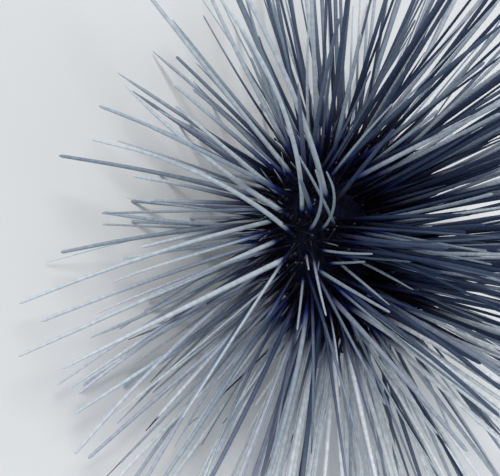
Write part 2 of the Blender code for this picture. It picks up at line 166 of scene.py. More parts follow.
# Spines that are held apart from the rule, at the front: the plate they stand on, and where they point.
# The clock is the angle about the front from the upward slope, turning to -X, at the root and the tip.
# The tilt is the angle away from the front, at the root and the tip. The stoutness is on top of the rule's.
Held = namedtuple("Held", "gore row column root_clock tip_clock root_tilt tip_tilt length stoutness")
HELD_SPINES = (
    Held("interambulacrum_5", 6, 3, 72, 120, 26, 62, 0.105, 1.15),
    Held("ambulacrum_1", 6, 0, 28, 104, 30, 46, 0.040, 1.15),
    Held("ambulacrum_1", 5, 0, 20, 112, 30, 44, 0.040, 1.15),
    Held("ambulacrum_1", 3, 0, 102, 112, 38, 56, 0.044, 0.95),
    Held("interambulacrum_5", 4, 2, 92, 114, 42, 66, 0.116, 1.30),
    Held("interambulacrum_5", 7, 3, 138, 124, 52, 62, 0.084, 1.20),
    Held("ambulacrum_1", 7, 0, 126, 160, 44, 68, 0.090, 1.05),
    Held("ambulacrum_1", 8, 0, 195, 195, 50, 60, 0.112, 1.10),
    Held("interambulacrum_5", 8, 3, 184, 194, 54, 62, 0.106, 1.05),
    Held("interambulacrum_5", 8, 2, 130, 129, 60, 70, 0.057, 1.20),
    Held("interambulacrum_5", 7, 1, 119, 117, 60, 72, 0.135, 1.05),
    Held("ambulacrum_1", 7, 1, 196, 197, 50, 62, 0.100, 1.30),
    Held("interambulacrum_4", 5, 3, 50, 46, 50, 78, 0.100, 1.05),
    Held("ambulacrum_1", 5, 1, 340, 352, 34, 46, 0.032, 0.80),
    Held("interambulacrum_1", 5, 0, 352, 356, 34, 44, 0.024, 0.80),
    Held("interambulacrum_1", 3, 0, 328, 320, 36, 44, 0.042, 0.80),
    Held("interambulacrum_1", 4, 0, 312, 312, 30, 42, 0.042, 0.80),
    Held("interambulacrum_1", 6, 0, 322, 324, 30, 40, 0.052, 0.90),
    Held("ambulacrum_1", 6, 1, 280, 276, 14, 20, 0.022, 0.75),
    Held("interambulacrum_1", 7, 0, 258, 254, 36, 50, 0.030, 0.80),
)

# Finer spines between the solids' ones: root and tip radius, share of the rule's length or own length, swing
Finer = namedtuple("Finer", "name root_radius tip_radius shares lengths swing")
SLENDER = Finer("slender", 0.00060, 0.00034, (0.52, 0.96), None, math.radians(8))
THIN = Finer("thin", 0.00042, 0.00022, (0.35, 0.95), None, math.radians(10))
SHORT = Finer("short", 0.00038, 0.00016, None, (0.008, 0.026), math.radians(17))
FINE_GAP = 0.00020
FINE_TRIES = 16
LEAST_FINE_LENGTH = 0.004
SLENDER_CHANCE = 0.62
STOUT_SIDE_CHANCE = 0.96
FAN_ROWS = (5.0, 12.5)
LONG_ROWS = (1.0, 12.0)
UPPER_ROWS = (1.0, 7.0)
LOWEST_ROW = ROWS - 0.1
EDGE_CHANCE = 0.92
UPPER_CHANCE = 0.55
CORNER_CHANCE = 0.60
ROOT_JITTER = 0.0003
FRONT_CLEARING = math.radians(42)

# Shape of a shaft: its size against the solid's rod, its bow, its whorls and its sides
ROUND_SHARE = 0.80
TIP_ROUND_SHARE = 0.92
BOW_SHARE = 0.016
FRONT_BOW_SHARE = 0.030
LEAST_BOW = 0.15
BOW_PULL = 1.1
BOW_GAP = 0.00015
BOW_TRIES = 10
BOW_STEPS = 4
SMOOTH_STEPS = 12
TAPER_POWER = 2.0
WHORL_RELIEF = 0.055
WHORL_FILL = 0.78
MOST_FOOT_SHARE = 0.35
MOST_WHORL_SHARE = 0.25
MOST_END_SHARE = 0.3
PRIMARY_WHORL = 0.0019
FINE_WHORL = 0.0026
PRIMARY_SIDES = 8
FINE_SIDES = 6
NEEDLE_RADIUS = 0.00012
TIP_DOME = 0.6
BENDS = (math.radians(32), math.radians(46))
BENT_SLIMNESS = (1.0, 0.76)
HELD_LENGTHS = (0.020, 0.070)
HELD_SLIMNESS = (0.66, 0.94)

# Distances from the root and radii, both in root radii: the fleshy foot, the milled ring and the neck
ROOT_PROFILE = (
    (0.00, 0.55, 1.10, 1.60, 1.85, 2.20, 2.45),
    (1.70, 1.55, 1.30, 1.08, 1.24, 1.26, 1.05),
)

# Ends of a spine: length, and the radius against the taper's at shares of the way along it
End = namedtuple("End", "length shares radii blackness")
BLUNT_END = End((0.0008, 0.0014), (0.0, 0.5, 1.0), (1.0, 0.85, 0.45), 0.0)
POINTED_END = End((0.0080, 0.0140), (0.0, 0.5, 1.0), (1.0, 0.66, 0.24), 0.0)
BLACK_END = End((0.0045, 0.0075), (0.0, 0.18, 0.30, 1.0), (1.0, 0.62, 0.48, 0.22), 1.0)
STANDING_END = End((0.0010, 0.0010), (0.0, 1.0), (1.0, 1.0), 0.0)

# How the kinds of spine differ: middle and spread of their brightness, the chance of a dim one, the share
# that is black all along, the distance from black to grey, and the chances of a blunt end and of a black one.
# A dim one is partly a darker spine and partly painted shade deep in the thicket, and the distance from
# black to grey is partly the spine's black base and partly painted shade round the body
Look = namedtuple("Look", "tone spread dim black fade blunt needle")
LOOKS = {
    "held": Look(0.86, 0.06, 0.00, 0.00, (0.0065, 0.0090), 0.60, 0.00),
    "ruled": Look(0.64, 0.14, 0.62, 0.00, (0.0170, 0.0280), 0.50, 0.30),
    "standing": Look(0.40, 0.15, 0.50, 0.10, (0.0100, 0.0140), 0.00, 0.00),
    "slender": Look(0.58, 0.16, 0.66, 0.02, (0.0160, 0.0260), 0.30, 0.50),
    "thin": Look(0.50, 0.18, 0.66, 0.20, (0.0140, 0.0240), 0.10, 0.70),
    "short": Look(0.30, 0.18, 0.70, 0.45, (0.0100, 0.0140), 0.10, 0.20),
}
LOOKS_SEED = 7
SHORT_HELD_LENGTH = 0.055
SHORT_HELD_TONE = 0.66
FADE_START = 0.0020
MOST_FADE = 2.0
SHORT_FADE_SHARE = 0.45
# Painted shade on the spines of the upper side: longer black roots, more dim ones and darker tips, with a few
# painted brighter as if lit
UPPER_DOWN = 0.55
UPPER_SHADE_FADE = 0.014
UPPER_TIP_SHADE = 0.80
UPPER_LIT_RISE = 0.08
UPPER_DIM = 0.16
LEAST_TONE = 0.02
TONE_LIMIT = 0.85
# a dim spine's tone is cut to a share in this range: partly its own darker colour, partly painted shade deep
# in the thicket
DIMMING = (0.06, 0.46)
TIP_TONES = (0.46, 0.84)
# the tone rises from the root's to the tip's between these shares of the length, partly painted shade near
# the body
LIFT_SHARES = (0.22, 0.72)
# Painted light on the low spines of the pale and lit sides: paler tones, fewer dim ones and brighter tips
PAINTED_LIGHT_ROW_SHARE = 0.36
PAINTED_LIGHT_RISE = 0.52
LESS_DIM = 0.90
LESS_DIM_WHERE_LIT = 0.55
LIT_TIP_RISE = 0.16
BLUNT_RISE = 0.85
BLACK_FROM = 0.90
BLACK_BLEND = 0.12

# Colours of the spines: the fade from the root, in two hues, and the shaft from dim to bright
BLUE_ROOT = (
    (0.00, (0.0006, 0.0012, 0.0060)),
    (0.26, (0.0010, 0.0022, 0.0190)),
    (0.50, (0.0045, 0.0110, 0.0950)),
    (0.72, (0.0190, 0.0360, 0.1250)),
)
VIOLET_ROOT = (
    (0.00, (0.0006, 0.0010, 0.0050)),
    (0.26, (0.0016, 0.0018, 0.0110)),
    (0.50, (0.0120, 0.0110, 0.0420)),
    (0.72, (0.0520, 0.0460, 0.0930)),
)
SHAFT_TONES = (
    (0.00, (0.0040, 0.0085, 0.0260)),
    (0.25, (0.0160, 0.0300, 0.0660)),
    (0.50, (0.0780, 0.1060, 0.1540)),
    (0.80, (0.2300, 0.2800, 0.3400)),
    (1.00, (0.5000, 0.5500, 0.5900)),
)
VIOLET_ROOT_TINTS = (0.40, 0.62)
DIM_ROOT_TONES = (0.0, 0.5)
SHAFT_FADES = (0.45, 1.0)
TIP_GAIN = (1.45, 1.38, 1.30)
TIP_GAIN_POWER = 1.3
VIOLET_GAIN = (1.03, 0.96, 1.02)
VIOLET_TINTS = (0.60, 0.95)
NEEDLE_BLACK = (0.0026, 0.0034, 0.0095)
NEEDLE_COVER = 0.96
BANDS_ALONG = 40.0
BANDS_BY_TONE = 57.0
BAND_SHADES = (0.86, 1.08)
BAND_GLOSS = (0.40, 0.56)
NOISE_RANGE = (0.3, 0.7)

# Patches of the map that colours are baked to
PATCH_WIDTH = 0.003
PATCH_LENGTH = 0.028
PATCH_KEPT_WIDTHS = 1.5
PATCH_STEP = 1.6
MAP_MARGIN = 0.04

# Skin. Above and below the test, its rings' share of the way down is out of range
CONE_ZONE = -1.0
MOUTH_ZONE = 2.0
SKIN_COLUMNS = 480
SKIN_TEST_ROWS = 150
CONE_ROWS = 14
CONE_TIP_SHARE = 0.10
CONE_POWER = 0.75
CONE_INSET = 0.0002
CONE_POLE_DROP = 0.0006
SEAT_INSET = 0.0001
MEMBRANE_ROWS = 18
MEMBRANE_RISE = 0.0003
MEMBRANE_SAG = 0.0008
LIP_STEPS = 4
LIP_DEPTH = 0.0008
LIP_RISE = 0.001
THROAT_RISE = 0.0025
THROAT_POLE_RISE = 0.0005
SKIN_MARGIN = 0.02
SKIN_DEPTH = 0.00015
GROOVE_DEPTH = 0.00022
GROOVE_WIDTH = 0.00045
PLATE_SWELL = 0.00012
SWELL_WIDTH = 0.0015
BOSS_HEIGHT = 0.0009
BOSS_SPREAD = 2.0
BOSS_POWER = 1.3
MOST_BOSS_RADIUS = 0.0020
BLUE_SPOT_RADIUS = 0.00065
BLUE_SPOT_EDGE = 1.3
BLUE_SPOT_ROWS = 9
BLUE_SPOT_FADE_ROWS = 3
CONE_PLEATS = 14
PLEAT_DEPTH = 0.00016
MEMBRANE_FOLDS = 30
FOLD_TWIST = 9
FOLD_DEPTH = 0.00018
SKIN_HUES = ((0.0008, 0.0013, 0.0070), (0.0018, 0.0026, 0.0110))
SKIN_GLOSS = (0.48, 0.68)
GROOVE_HUE = (0.0006, 0.0008, 0.0030)
GROOVE_COVER = 0.6
BOSS_HUE = (0.0014, 0.0022, 0.0120)
BOSS_COVER = 0.4
MEMBRANE_HUE = (0.0240, 0.0120, 0.0150)
CONE_HUE = (0.0120, 0.0095, 0.0130)
BLUE_SPOT_HUE = (0.0030, 0.0100, 0.0500)

# Small soft growths: shares of the length and the radii there, how far they bend to a side, their lengths and
# brightness, and for keeping clear of the spines a width and the spread of their directions
Growth = namedtuple("Growth", "shares radii bend lengths tones width spread", defaults=(None,) * 4)
TUBE_FOOT = Growth(
    shares=(0.00, 0.06, 0.80, 0.90, 0.95, 1.00),
    radii=(0.00034, 0.00026, 0.00020, 0.00024, 0.00052, 0.00040),
    bend=0.16,
    lengths=(0.006, 0.017),
    tones=(0.1, 0.6),
    width=0.00030,
    spread=0.30,
)
PEDICEL = Growth(
    shares=(0.00, 0.08, 0.62, 0.72, 0.84, 1.00),
    radii=(0.00018, 0.00011, 0.00010, 0.00022, 0.00036, 0.00007),
    bend=0.10,
    lengths=(0.0018, 0.0038),
    tones=(0.3, 1.0),
    width=0.00036,
    spread=0.20,
)
BUCCAL_FOOT = Growth(
    shares=(0.00, 0.10, 0.70, 0.86, 0.92, 1.00),
    radii=(0.00080, 0.00062, 0.00052, 0.00060, 0.00098, 0.00075),
    bend=0.25,
)
GILL_TWIG = Growth(
    shares=(0.00, 0.25, 0.45, 0.70, 1.00),
    radii=(0.00032, 0.00036, 0.00028, 0.00032, 0.00012),
    bend=0.35,
    lengths=(0.0018, 0.0036),
    tones=(0.5, 1.0),
)
TUBE_FOOT_ROWS = (1, 15)
TUBE_FOOT_PAIR = (0.32, 0.70)
TUBE_FOOT_SIDE = 0.40
PEDICEL_COUNT = 110
PEDICEL_DOWNS = (0.04, 0.98)
BUCCAL_LENGTH = 0.0036
BUCCAL_TONE = 0.7
BUCCAL_RADIUS = 0.0098
BUCCAL_SPREAD = math.radians(9)
BUCCAL_ELEVATION = math.radians(-62)
BUCCAL_DOWN = 0.9
GILL_TWIGS = 9
GILL_INSET = 0.0006
GILL_RISE = 0.0002
GILL_SPREAD = 0.7
GILL_ELEVATIONS = (-75, -35)
GILL_DOWN = 0.97
GROWTH_STATIONS = 14
GROWTH_ROOT_SHARE = 0.25
GROWTH_GAP = 0.00005
GROWTH_TRIES = 8
GROWTH_SEED = 3

# Apical plates. A granule is at a share of the way out, and a share of the way to a side
DISC_RISE = 0.0004
DISC_FALL = 1.6
DISC_FALL_START = 0.4
MADREPORITE_SWELL = 0.0006
PLATE_STEPS = 30
PLATE_ROUNDING = 0.00045
PLATE_EDGE_DROP = 0.0003
PLATE_INSET = 0.00012
PORE_SHARE = 0.74
PORE_RADIUS = 0.00042
OCULAR_PORE_SHARE = 0.6
PORE_DEPTH = 0.0006
PORE_POWER = 0.6
PORE_RIM = 0.22
PORE_RIM_PLACE = 1.3
PORE_RIM_WIDTH = 0.35
PORE_MARK_REACH = 1.1
SIEVE_PITCH = 0.00034
SIEVE_DEPTH = 0.00010
SIEVE_START = 1.6
SIEVE_SLOPE = 2
SIEVE_MARK = 0.8
GRANULE_HEIGHT = 0.00022
GRANULE_RADIUS = 0.00046
GRANULE_POWER = 1.5
GRANULES = (
    (0.24, -0.55),
    (0.20, 0.10),
    (0.30, 0.62),
    (0.52, -0.72),
    (0.56, 0.70),
    (0.44, -0.12),
    (0.80, 0.55),
)
OCULAR_GRANULE_REACH = 0.3

# Teeth. Widths are shares of the sector at the root and the tip
TOOTH_ROOT_RISE = 0.0018
TOOTH_TIP_HEIGHT = 0.0270
TOOTH_RADIUS = 0.0040
TOOTH_TIP_RADIUS = 0.0006
TOOTH_SWELL = 0.0001
TOOTH_CURVE = 2.6
TOOTH_WIDTHS = (0.92, 0.62)
TOOTH_FRONT = 1.05
TOOTH_THICKNESS = 0.48
TOOTH_SIDE_POWER = 0.7
TOOTH_FACE_POWER = 0.8
TOOTH_KEEL = (0.75, 0.95)
TOOTH_GROOVE = 0.00025
TOOTH_GROOVE_WIDTH = 0.30
TOOTH_LEVELS = 22
TOOTH_SIDES = 18

# Studio. A light has a place, a strength, a width in degrees and a colour. The surround turns from its
# strength at the horizon to that above between two sines of the elevation
FLOOR_SIZE = 80.0
FLOOR_COLOUR = (0.60, 0.61, 0.62)
LIGHTS = {
    "key": ((-2.25, -1.25, 3.0), 2.9, 25, (1.0, 0.985, 0.96)),
    "fill": ((2.25, -3.0, 2.0), 1.1, 40, (0.90, 0.95, 1.0)),
    "rim": ((1.0, 3.0, 2.25), 1.05, 37, (0.92, 0.96, 1.0)),
}
SURROUND_COLOUR = (0.84, 0.88, 0.94)
HORIZON_SINES = (0.21, 0.45)
SURROUND_STRENGTHS = (0.94, 0.31)

Gore = namedtuple("Gore", "name middle span columns ambulacral")
Seat = namedtuple("Seat", "gore row column place azimuth down")
Spine = namedtuple("Spine", "points radii")
Shaft = namedtuple("Shaft", "gore azimuth down points root_radius tip_radius kind")


def blend(first, second, share):
    """What is at a share of the way from the first to the second."""
    return first + (second - first) * share


def within(value, limits):
    """Whether a value is inside its limits."""
    return limits[0] <= value <= limits[1]


def rounded(value, power):
    """A sine or cosine to a power, with its sign kept."""
    return np.copysign(np.abs(value) ** power, value)


def dome(distance, power):
    """A bump that falls from 1 at its middle to 0 at a distance of 1."""
    return np.clip(1 - distance**2, 0, 1) ** power


def columns(*values):
    """A table with these columns. A single number fills its column."""
    return np.stack(np.broadcast_arrays(*values), 1)


def grid(rows, across):
    """Row and column numbers of all places on a grid."""
    return np.indices((rows, across)).reshape(2, -1)


def unit(vector):
    """A vector, or each row of a table, at a length of 1."""
    return vector / np.linalg.norm(vector, axis=-1, keepdims=True)


def nearness(azimuth, side):
    """How near an azimuth is to a side, from 1 at its middle to 0."""
    off = math.remainder(math.degrees(azimuth) - side.middle, 360)
    return math.exp(-((off / side.spread) ** 2))


def around_axis(radius, azimuth, height):
    """A place round the test's axis."""
    return np.array([radius * math.cos(azimuth), radius * math.sin(azimuth), height])


def unit_vector(azimuth, elevation):
    """Direction with the azimuth from +X and the elevation above the floor."""
    return around_axis(math.cos(elevation), azimuth, math.sin(elevation))


def distances_along(path):
    """Distance travelled along a path, at each of its points."""
    return np.concatenate([[0.0], np.cumsum(np.linalg.norm(np.diff(path, axis=0), axis=1))])


def along_path(path, travelled, distances):
    """Places at distances along a path."""
    return np.stack([np.interp(distances, travelled, column) for column in path.T], 1)


def profile_at(angle):
    """Radius and height of the test at an angle from its top, on a full, flattened oval."""
    power = 2 / FULLNESS
    half_height = ABORAL_HEIGHT if angle < math.pi / 2 else ORAL_HEIGHT
    rise = half_height * rounded(math.cos(angle), power)
    return TEST_RADIUS * math.sin(angle) ** power, AMBITUS_HEIGHT + rise


def rim_angle(radius):
    """Angle from the top at which the test has this radius."""
    return math.asin((radius / TEST_RADIUS) ** (FULLNESS / 2))


def even_profile(steps):
    """Radius and height at even steps along the test, from the apical disc to the mouth's membrane."""
    angles = np.linspace(rim_angle(APICAL_RADIUS), math.pi - rim_angle(PERISTOME_RADIUS), PROFILE_SAMPLES + 1)
    fine = np.array([profile_at(angle) for angle in angles])
    travelled = distances_along(fine)
    return along_path(fine, travelled, np.linspace(0.0, travelled[-1], steps + 1))


PROFILE = even_profile(ROWS)
ROW_LENGTH = distances_along(even_profile(PROFILE_SAMPLES))[-1] / ROWS
SECTOR_MIDDLES = [FRONT_AZIMUTH + SECTOR_ANGLE * k for k in range(SECTORS)]
FRONT = unit_vector(FRONT_AZIMUTH, FRONT_ELEVATION)
FORWARD = unit_vector(FRONT_AZIMUTH, 0.0)


def gores():
    """The ten gores of the test, in turn round it from the front."""
    listed = []
    for number, middle in enumerate(SECTOR_MIDDLES, 1):
        name = f"ambulacrum_{number}"
        between_two = middle + SECTOR_ANGLE / 2
        listed.append(Gore(name, middle, AMBULACRUM_SPAN, AMBULACRUM_COLUMNS, True))
        listed.append(Gore(f"inter{name}", between_two, INTERAMBULACRUM_SPAN, INTERAMBULACRUM_COLUMNS, False))
    return listed


def gore_seats(gore):
    """The plates of a gore that carry a spine. The upper middle of a wide gore is bare."""
    seats = {}
    for row in range(ROWS):
        upper, lower = PROFILE[row], PROFILE[row + 1]
        for column in range(gore.columns):
            if row < BARE_ROWS and 0 < column < gore.columns - 1:
                continue
            stagger = STAGGER if column % 2 else -STAGGER
            radius, height = blend(upper, lower, 0.5 + stagger / np.linalg.norm(lower - upper))
            radius *= math.cos(gore.span / gore.columns / 2)
            azimuth = gore.middle + gore.span * ((column + 0.5) / gore.columns - 0.5)
            place = around_axis(radius, azimuth, height)
            seats[gore.name, row, column] = Seat(gore, row, column, place, azimuth, (row + 0.5) / ROWS)
    return seats


GORES = gores()
SEATS = {plate: seat for gore in GORES for plate, seat in gore_seats(gore).items()}


def rule_at(down):
    """Elevation, length and root radius of a spine at a share of the way down the test."""
    places, *rules = zip(*SPINE_RULES)
    elevation, length, radius = (float(np.interp(down, places, rule)) for rule in rules)
    return math.radians(elevation), length, radius


def angle_between(first, second):
    """Angle between two directions."""
    return math.acos(max(-1.0, min(1.0, float(first @ second))))


def tilted(side, tilt):
    """Direction at a tilt from the front to a side."""
    return FRONT * math.cos(tilt) + side * math.sin(tilt)


def about_front(clock, tilt):
    """Direction at a tilt from the front, at a clock angle from the upward slope to -X."""
    up_slope = unit_vector(FRONT_AZIMUTH, FRONT_ELEVATION + math.pi / 2)
    across = np.array([-1.0, 0.0, 0.0])
    return tilted(up_slope * math.cos(clock) + across * math.sin(clock), tilt)


def part_aside(direction):
    """Turns a direction away from the front, so that the spines part there."""
    angle = angle_between(direction, FRONT)
    if angle > PARTING_REACH:
        return direction
    side = unit(direction - FRONT * math.cos(angle))
    return tilted(side, blend(PARTING_ANGLE, PARTING_REACH, angle / PARTING_REACH))


def frontness(direction):
    """How far a direction points forwards, from 0 to 1."""
    return max(0.0, float(direction @ FORWARD))


def front_share(direction):
    """Share of its usual length that a spine has, because those near the front are shorter."""
    angle = angle_between(direction, FRONT)
    share = blend(1.0, NEAR_SHARE, frontness(direction))
    return min(share, float(np.interp(angle, [SHORT_ANGLE, FULL_ANGLE], [SHORT_SHARE, 1.0])))


def side_share(direction):
    """Share of its usual length that a low spine has, because those to -X of the front are shorter."""
    flatness = 1.0 - float(direction[2]) ** 2
    return 1.0 - SHORT_SIDE_CUT * flatness * nearness(math.atan2(direction[1], direction[0]), SHORT_SIDE)


def leaned(azimuth):
    """Heading of a spine on this side of the test: those at the front lean to +X, and stand closer there."""
    return azimuth + LEAN * nearness(azimuth, LEANING_SIDE)


def swung(azimuth, elevation, swing, draw):
    """Direction of a spine, swung a little from its rule."""
    rise = elevation + draw.gauss(0, swing)
    heading = leaned(azimuth) + draw.gauss(0, swing) / max(LEAST_FLATNESS, math.cos(rise))
    return part_aside(unit_vector(heading, rise))


def reach_of(place, direction, floor):
    """Length at which a falling spine comes down to a height."""
    if direction[2] >= 0.0:
        return math.inf
    return (place[2] - floor) / -float(direction[2])


def free_reach(place, direction, length, late_tries):
    """Length of a spine in its direction, clear of the floor, and shorter after many tries."""
    reach = length * front_share(direction) * side_share(direction) * SHORTENING ** max(0, late_tries)
    return min(reach, reach_of(place, direction, TIP_CLEARANCE))


def closest_gap(start, end, start_radius, end_radius, others):
    """Smallest gap between one tapered rod and many others."""
    starts, ends, start_radii, end_radii = others
    along = end - start
    alongs = ends - starts
    between_starts = start - starts
    own_square = float(along @ along)
    squares = np.einsum("ij,ij->i", alongs, alongs)
    crossing = alongs @ along
    own_lead = between_starts @ along
    leads = np.einsum("ij,ij->i", alongs, between_starts)
    spread = np.maximum(own_square * squares - crossing**2, TINY)
    own_share = np.clip((crossing * leads - own_lead * squares) / spread, 0.0, 1.0)
    share = np.clip((crossing * own_share + leads) / squares, 0.0, 1.0)
    own_share = np.clip((crossing * share - own_lead) / own_square, 0.0, 1.0)
    apart = start + own_share[:, None] * along - starts - share[:, None] * alongs
    own_radius = blend(start_radius, end_radius, own_share)
    radii = blend(start_radii, end_radii, share)
    return float(np.min(np.linalg.norm(apart, axis=1) - own_radius - radii))


def rods_of(spine):
    """Start, end and radii of each straight stretch of a spine."""
    points, radii = spine
    return list(zip(points[:-1], points[1:], radii[:-1], radii[1:]))


class Thicket:
    """The spines placed so far, as tapered rods, so that the next one can keep clear of them."""

    def __init__(self):
        self.rods = {}
        self.others = {}

    def gap_to(self, spine, owner=None):
        """Smallest gap between a spine and all those placed so far, except its owner's own."""
        if owner not in self.others:
            rods = [rod for name, own in self.rods.items() if name != owner for rod in own]
            self.others[owner] = [np.array(column) for column in zip(*rods)]
        if not self.others[owner]:
            return math.inf
        return min(closest_gap(*rod, self.others[owner]) for rod in rods_of(spine))

    def add(self, spine, owner):
        """Places a spine, in place of what its owner had."""
        self.rods[owner] = rods_of(spine)
        self.others = {}

    def has_room(self, spine, gap, owner=None):
        """Whether a spine keeps off the floor, and keeps a gap to the others."""
        lowest = min(point[2] for point in spine.points)
        return lowest > TIP_CLEARANCE / 2 and self.gap_to(spine, owner) > gap


def held_spine(seat, held, root_radius):
    """A spine that bends evenly from its root's direction to its tip's."""
    points = [seat.place]
    for step in range(BEND_STEPS):
        share = (step + 0.5) / BEND_STEPS
        clock = math.radians(blend(held.root_clock, held.tip_clock, share))
        tilt = math.radians(blend(held.root_tilt, held.tip_tilt, share))
        points.append(points[-1] + about_front(clock, tilt) * held.length / BEND_STEPS)
    return tapered(points, root_radius, TIP_RADIUS)


def tapered(points, root_radius, tip_radius):
    """A spine through points that tapers evenly from one to the next."""
    return Spine(points, np.linspace(root_radius, tip_radius, len(points)))


def ruled_spine(seat, thicket, draw):
    """A spine that follows the rule for its place, swung a little so that it clears the others."""
    elevation, length, root_radius = rule_at(seat.down)
    if seat.gore.ambulacral:
        length *= AMBULACRAL_SHARE
        root_radius *= AMBULACRAL_SHARE
    length *= draw.uniform(*(SHORT_SHARES if draw.random() < SHORT_CHANCE else FULL_SHARES))
    standing = seat.row in STANDING_ROWS
    best_gap, best = -math.inf, None
    for attempt in range(TRIES):
        direction = swung(seat.azimuth, elevation, blend(SWING, WIDEST_SWING, attempt / TRIES), draw)
        if standing:
            reach = reach_of(seat.place, direction, 0.0)
        else:
            reach = free_reach(seat.place, direction, length, attempt - FULL_LENGTH_TRIES)
        path = [seat.place, seat.place + direction * reach]
        spine = tapered(path, root_radius, FOOT_RADIUS if standing else TIP_RADIUS)
        gap = thicket.gap_to(spine)
        if gap > best_gap:
            best_gap, best = gap, spine
        if gap > SPINE_GAP:
            break
    return best


def spine_plan():
    """Every spine of the solids, by its plate: the held ones first, then the others round them."""
    draw = random.Random(SEED)
    thicket = Thicket()
    plan = {}
    held_by_plate = {(held.gore, held.row, held.column): held for held in HELD_SPINES}
    for plate, seat in SEATS.items():
        if plate in held_by_plate:
            held = held_by_plate[plate]
            plan[plate] = held_spine(seat, held, rule_at(seat.down)[2] * held.stoutness)
            thicket.add(plan[plate], plate)
    for plate, seat in SEATS.items():
        if plate not in plan:
            plan[plate] = ruled_spine(seat, thicket, draw)
            thicket.add(plan[plate], plate)
    return plan


def bowed(start, end, draw):
    """Points along a shallow bow between two places. Low spines at the front bow deepest, and to -X."""
    along = end - start
    aside = np.array([draw.gauss(0, 1) for _ in range(3)])
    forwards = frontness(unit(along))
    aside[0] -= BOW_PULL * forwards
    aside -= along * float(aside @ along) / float(along @ along)
    most = blend(BOW_SHARE, FRONT_BOW_SHARE, forwards)
    sideways = unit(aside) * np.linalg.norm(along) * draw.uniform(LEAST_BOW * most, most)
    shares = [step / BOW_STEPS for step in range(BOW_STEPS + 1)]
    return [start + along * share + sideways * 4 * share * (1 - share) for share in shares]


def primary_shafts(draw):
    """The solids' spines as round shafts, each with a slight bow where its neighbours leave room."""
    plan, thicket, shafts = spine_plan(), Thicket(), []
    for plate, spine in plan.items():
        shares = np.linspace(ROUND_SHARE, TIP_ROUND_SHARE, len(spine.radii))
        thicket.add(Spine(spine.points, spine.radii * shares), plate)
    for plate, seat in SEATS.items():
        points, radii = plan[plate]
        kind = "standing" if seat.row in STANDING_ROWS else "held" if len(radii) > 2 else "ruled"
        root_radius = radii[0] * ROUND_SHARE
        tip_radius = radii[-1] * (TIP_ROUND_SHARE if kind == "ruled" else ROUND_SHARE)
        for _ in range(BOW_TRIES if kind == "ruled" else 0):
            spine = tapered(bowed(points[0], points[-1], draw), root_radius, tip_radius)
            if thicket.has_room(spine, BOW_GAP, plate):
                points = spine.points
                thicket.add(spine, plate)
                break
        shafts.append(Shaft(seat.gore, seat.azimuth, seat.down, points, root_radius, tip_radius, kind))
    return shafts, thicket


def place_on_test(rows_down, azimuth):
    """A place on the test, at a number of rows down and an azimuth."""
    radius, height = (float(np.interp(rows_down, range(ROWS + 1), values)) for values in PROFILE.T)
    return around_axis(radius, azimuth, height)


def fine_places(gore):
    """Kind, rows down and columns along of the places between a gore's plates."""
    for row in range(ROWS):
        for column in range(gore.columns):
            if row > BARE_ROWS or gore.ambulacral or column == 0:
                yield "corner", row + 1.0, float(column)
                yield "edge", row + 0.5, float(column)


def finer_kind(place_kind, rows_down, azimuth, draw):
    """Which finer spine stands at a place: the low fan to +X of the front is the fullest."""
    fullness = nearness(azimuth, FAN_SIDE) if within(rows_down, FAN_ROWS) else 0.0
    if place_kind == "corner":
        chance = blend(CORNER_CHANCE, 1.0, fullness)
    else:
        chance = max(UPPER_CHANCE if within(rows_down, UPPER_ROWS) else 0.0, EDGE_CHANCE * fullness)
    if draw.random() > chance or not within(rows_down, LONG_ROWS):
        return SHORT
    stout = max(nearness(azimuth, side) for side in STOUT_SIDES)
    return SLENDER if draw.random() < blend(SLENDER_CHANCE, STOUT_SIDE_CHANCE, stout) else THIN


def in_cad_box(place):
    """Whether a place, measured from the test's axis, is inside the solids' box."""
    low, high = np.array(CAD_BOX) - AXIS_PLACE
    return bool(np.all(place > low) and np.all(place < high))


def finer_shaft(gore, kind, down, azimuth, place, thicket, draw):
    """A finer spine that clears all the others, or nothing where there is no room."""
    elevation, length, _ = rule_at(down)
    length = draw.uniform(*kind.lengths) if kind.lengths else length * draw.uniform(*kind.shares)
    for attempt in range(FINE_TRIES):
        direction = swung(azimuth, elevation, kind.swing, draw)
        if kind is not SHORT and angle_between(direction, FRONT) < FRONT_CLEARING:
            continue
        reach = free_reach(place, direction, length, attempt - FINE_TRIES // 2)
        if reach < LEAST_FINE_LENGTH:
            continue
        path = bowed(place, place + direction * reach, draw)
        spine = tapered(path, kind.root_radius, kind.tip_radius)
        if in_cad_box(path[-1]) and thicket.has_room(spine, FINE_GAP):
            return Shaft(gore, azimuth, down, path, kind.root_radius, kind.tip_radius, kind.name)
    return None


def fine_shafts(thicket, draw):
    """Slender, thin and short spines between the plates' own, wherever they find room."""
    shafts = []
    for gore in GORES:
        for place_kind, rows_down, column in fine_places(gore):
            azimuth = gore.middle + gore.span * (column / gore.columns - 0.5)
            kind = finer_kind(place_kind, rows_down, azimuth, draw)
            azimuth += draw.uniform(-ROOT_JITTER, ROOT_JITTER) / TEST_RADIUS
            place = place_on_test(min(rows_down, LOWEST_ROW), azimuth)
            shaft = finer_shaft(gore, kind, rows_down / ROWS, azimuth, place, thicket, draw)
            if shaft:
                thicket.add(tapered(shaft.points, shaft.root_radius, shaft.tip_radius), len(shafts))
                shafts.append(shaft)
    return shafts


def smooth_path(points):
    """A path through the points, rounded at each of them, and the distance travelled along it."""
    path = np.array(points)
    if len(path) > 2:
        padded = np.vstack([2 * path[0] - path[1], path, 2 * path[-1] - path[-2]])
        t = np.linspace(0, 1, SMOOTH_STEPS, endpoint=False)[:, None]
        pieces = []
        for a, b, c, d in zip(padded, padded[1:], padded[2:], padded[3:]):
            bend = (2 * a - 5 * b + 4 * c - d) * t**2 + (3 * b - a - 3 * c + d) * t**3
            pieces.append((2 * b + (c - a) * t + bend) / 2)
        path = np.vstack([*pieces, path[-1:]])
    return path, distances_along(path)


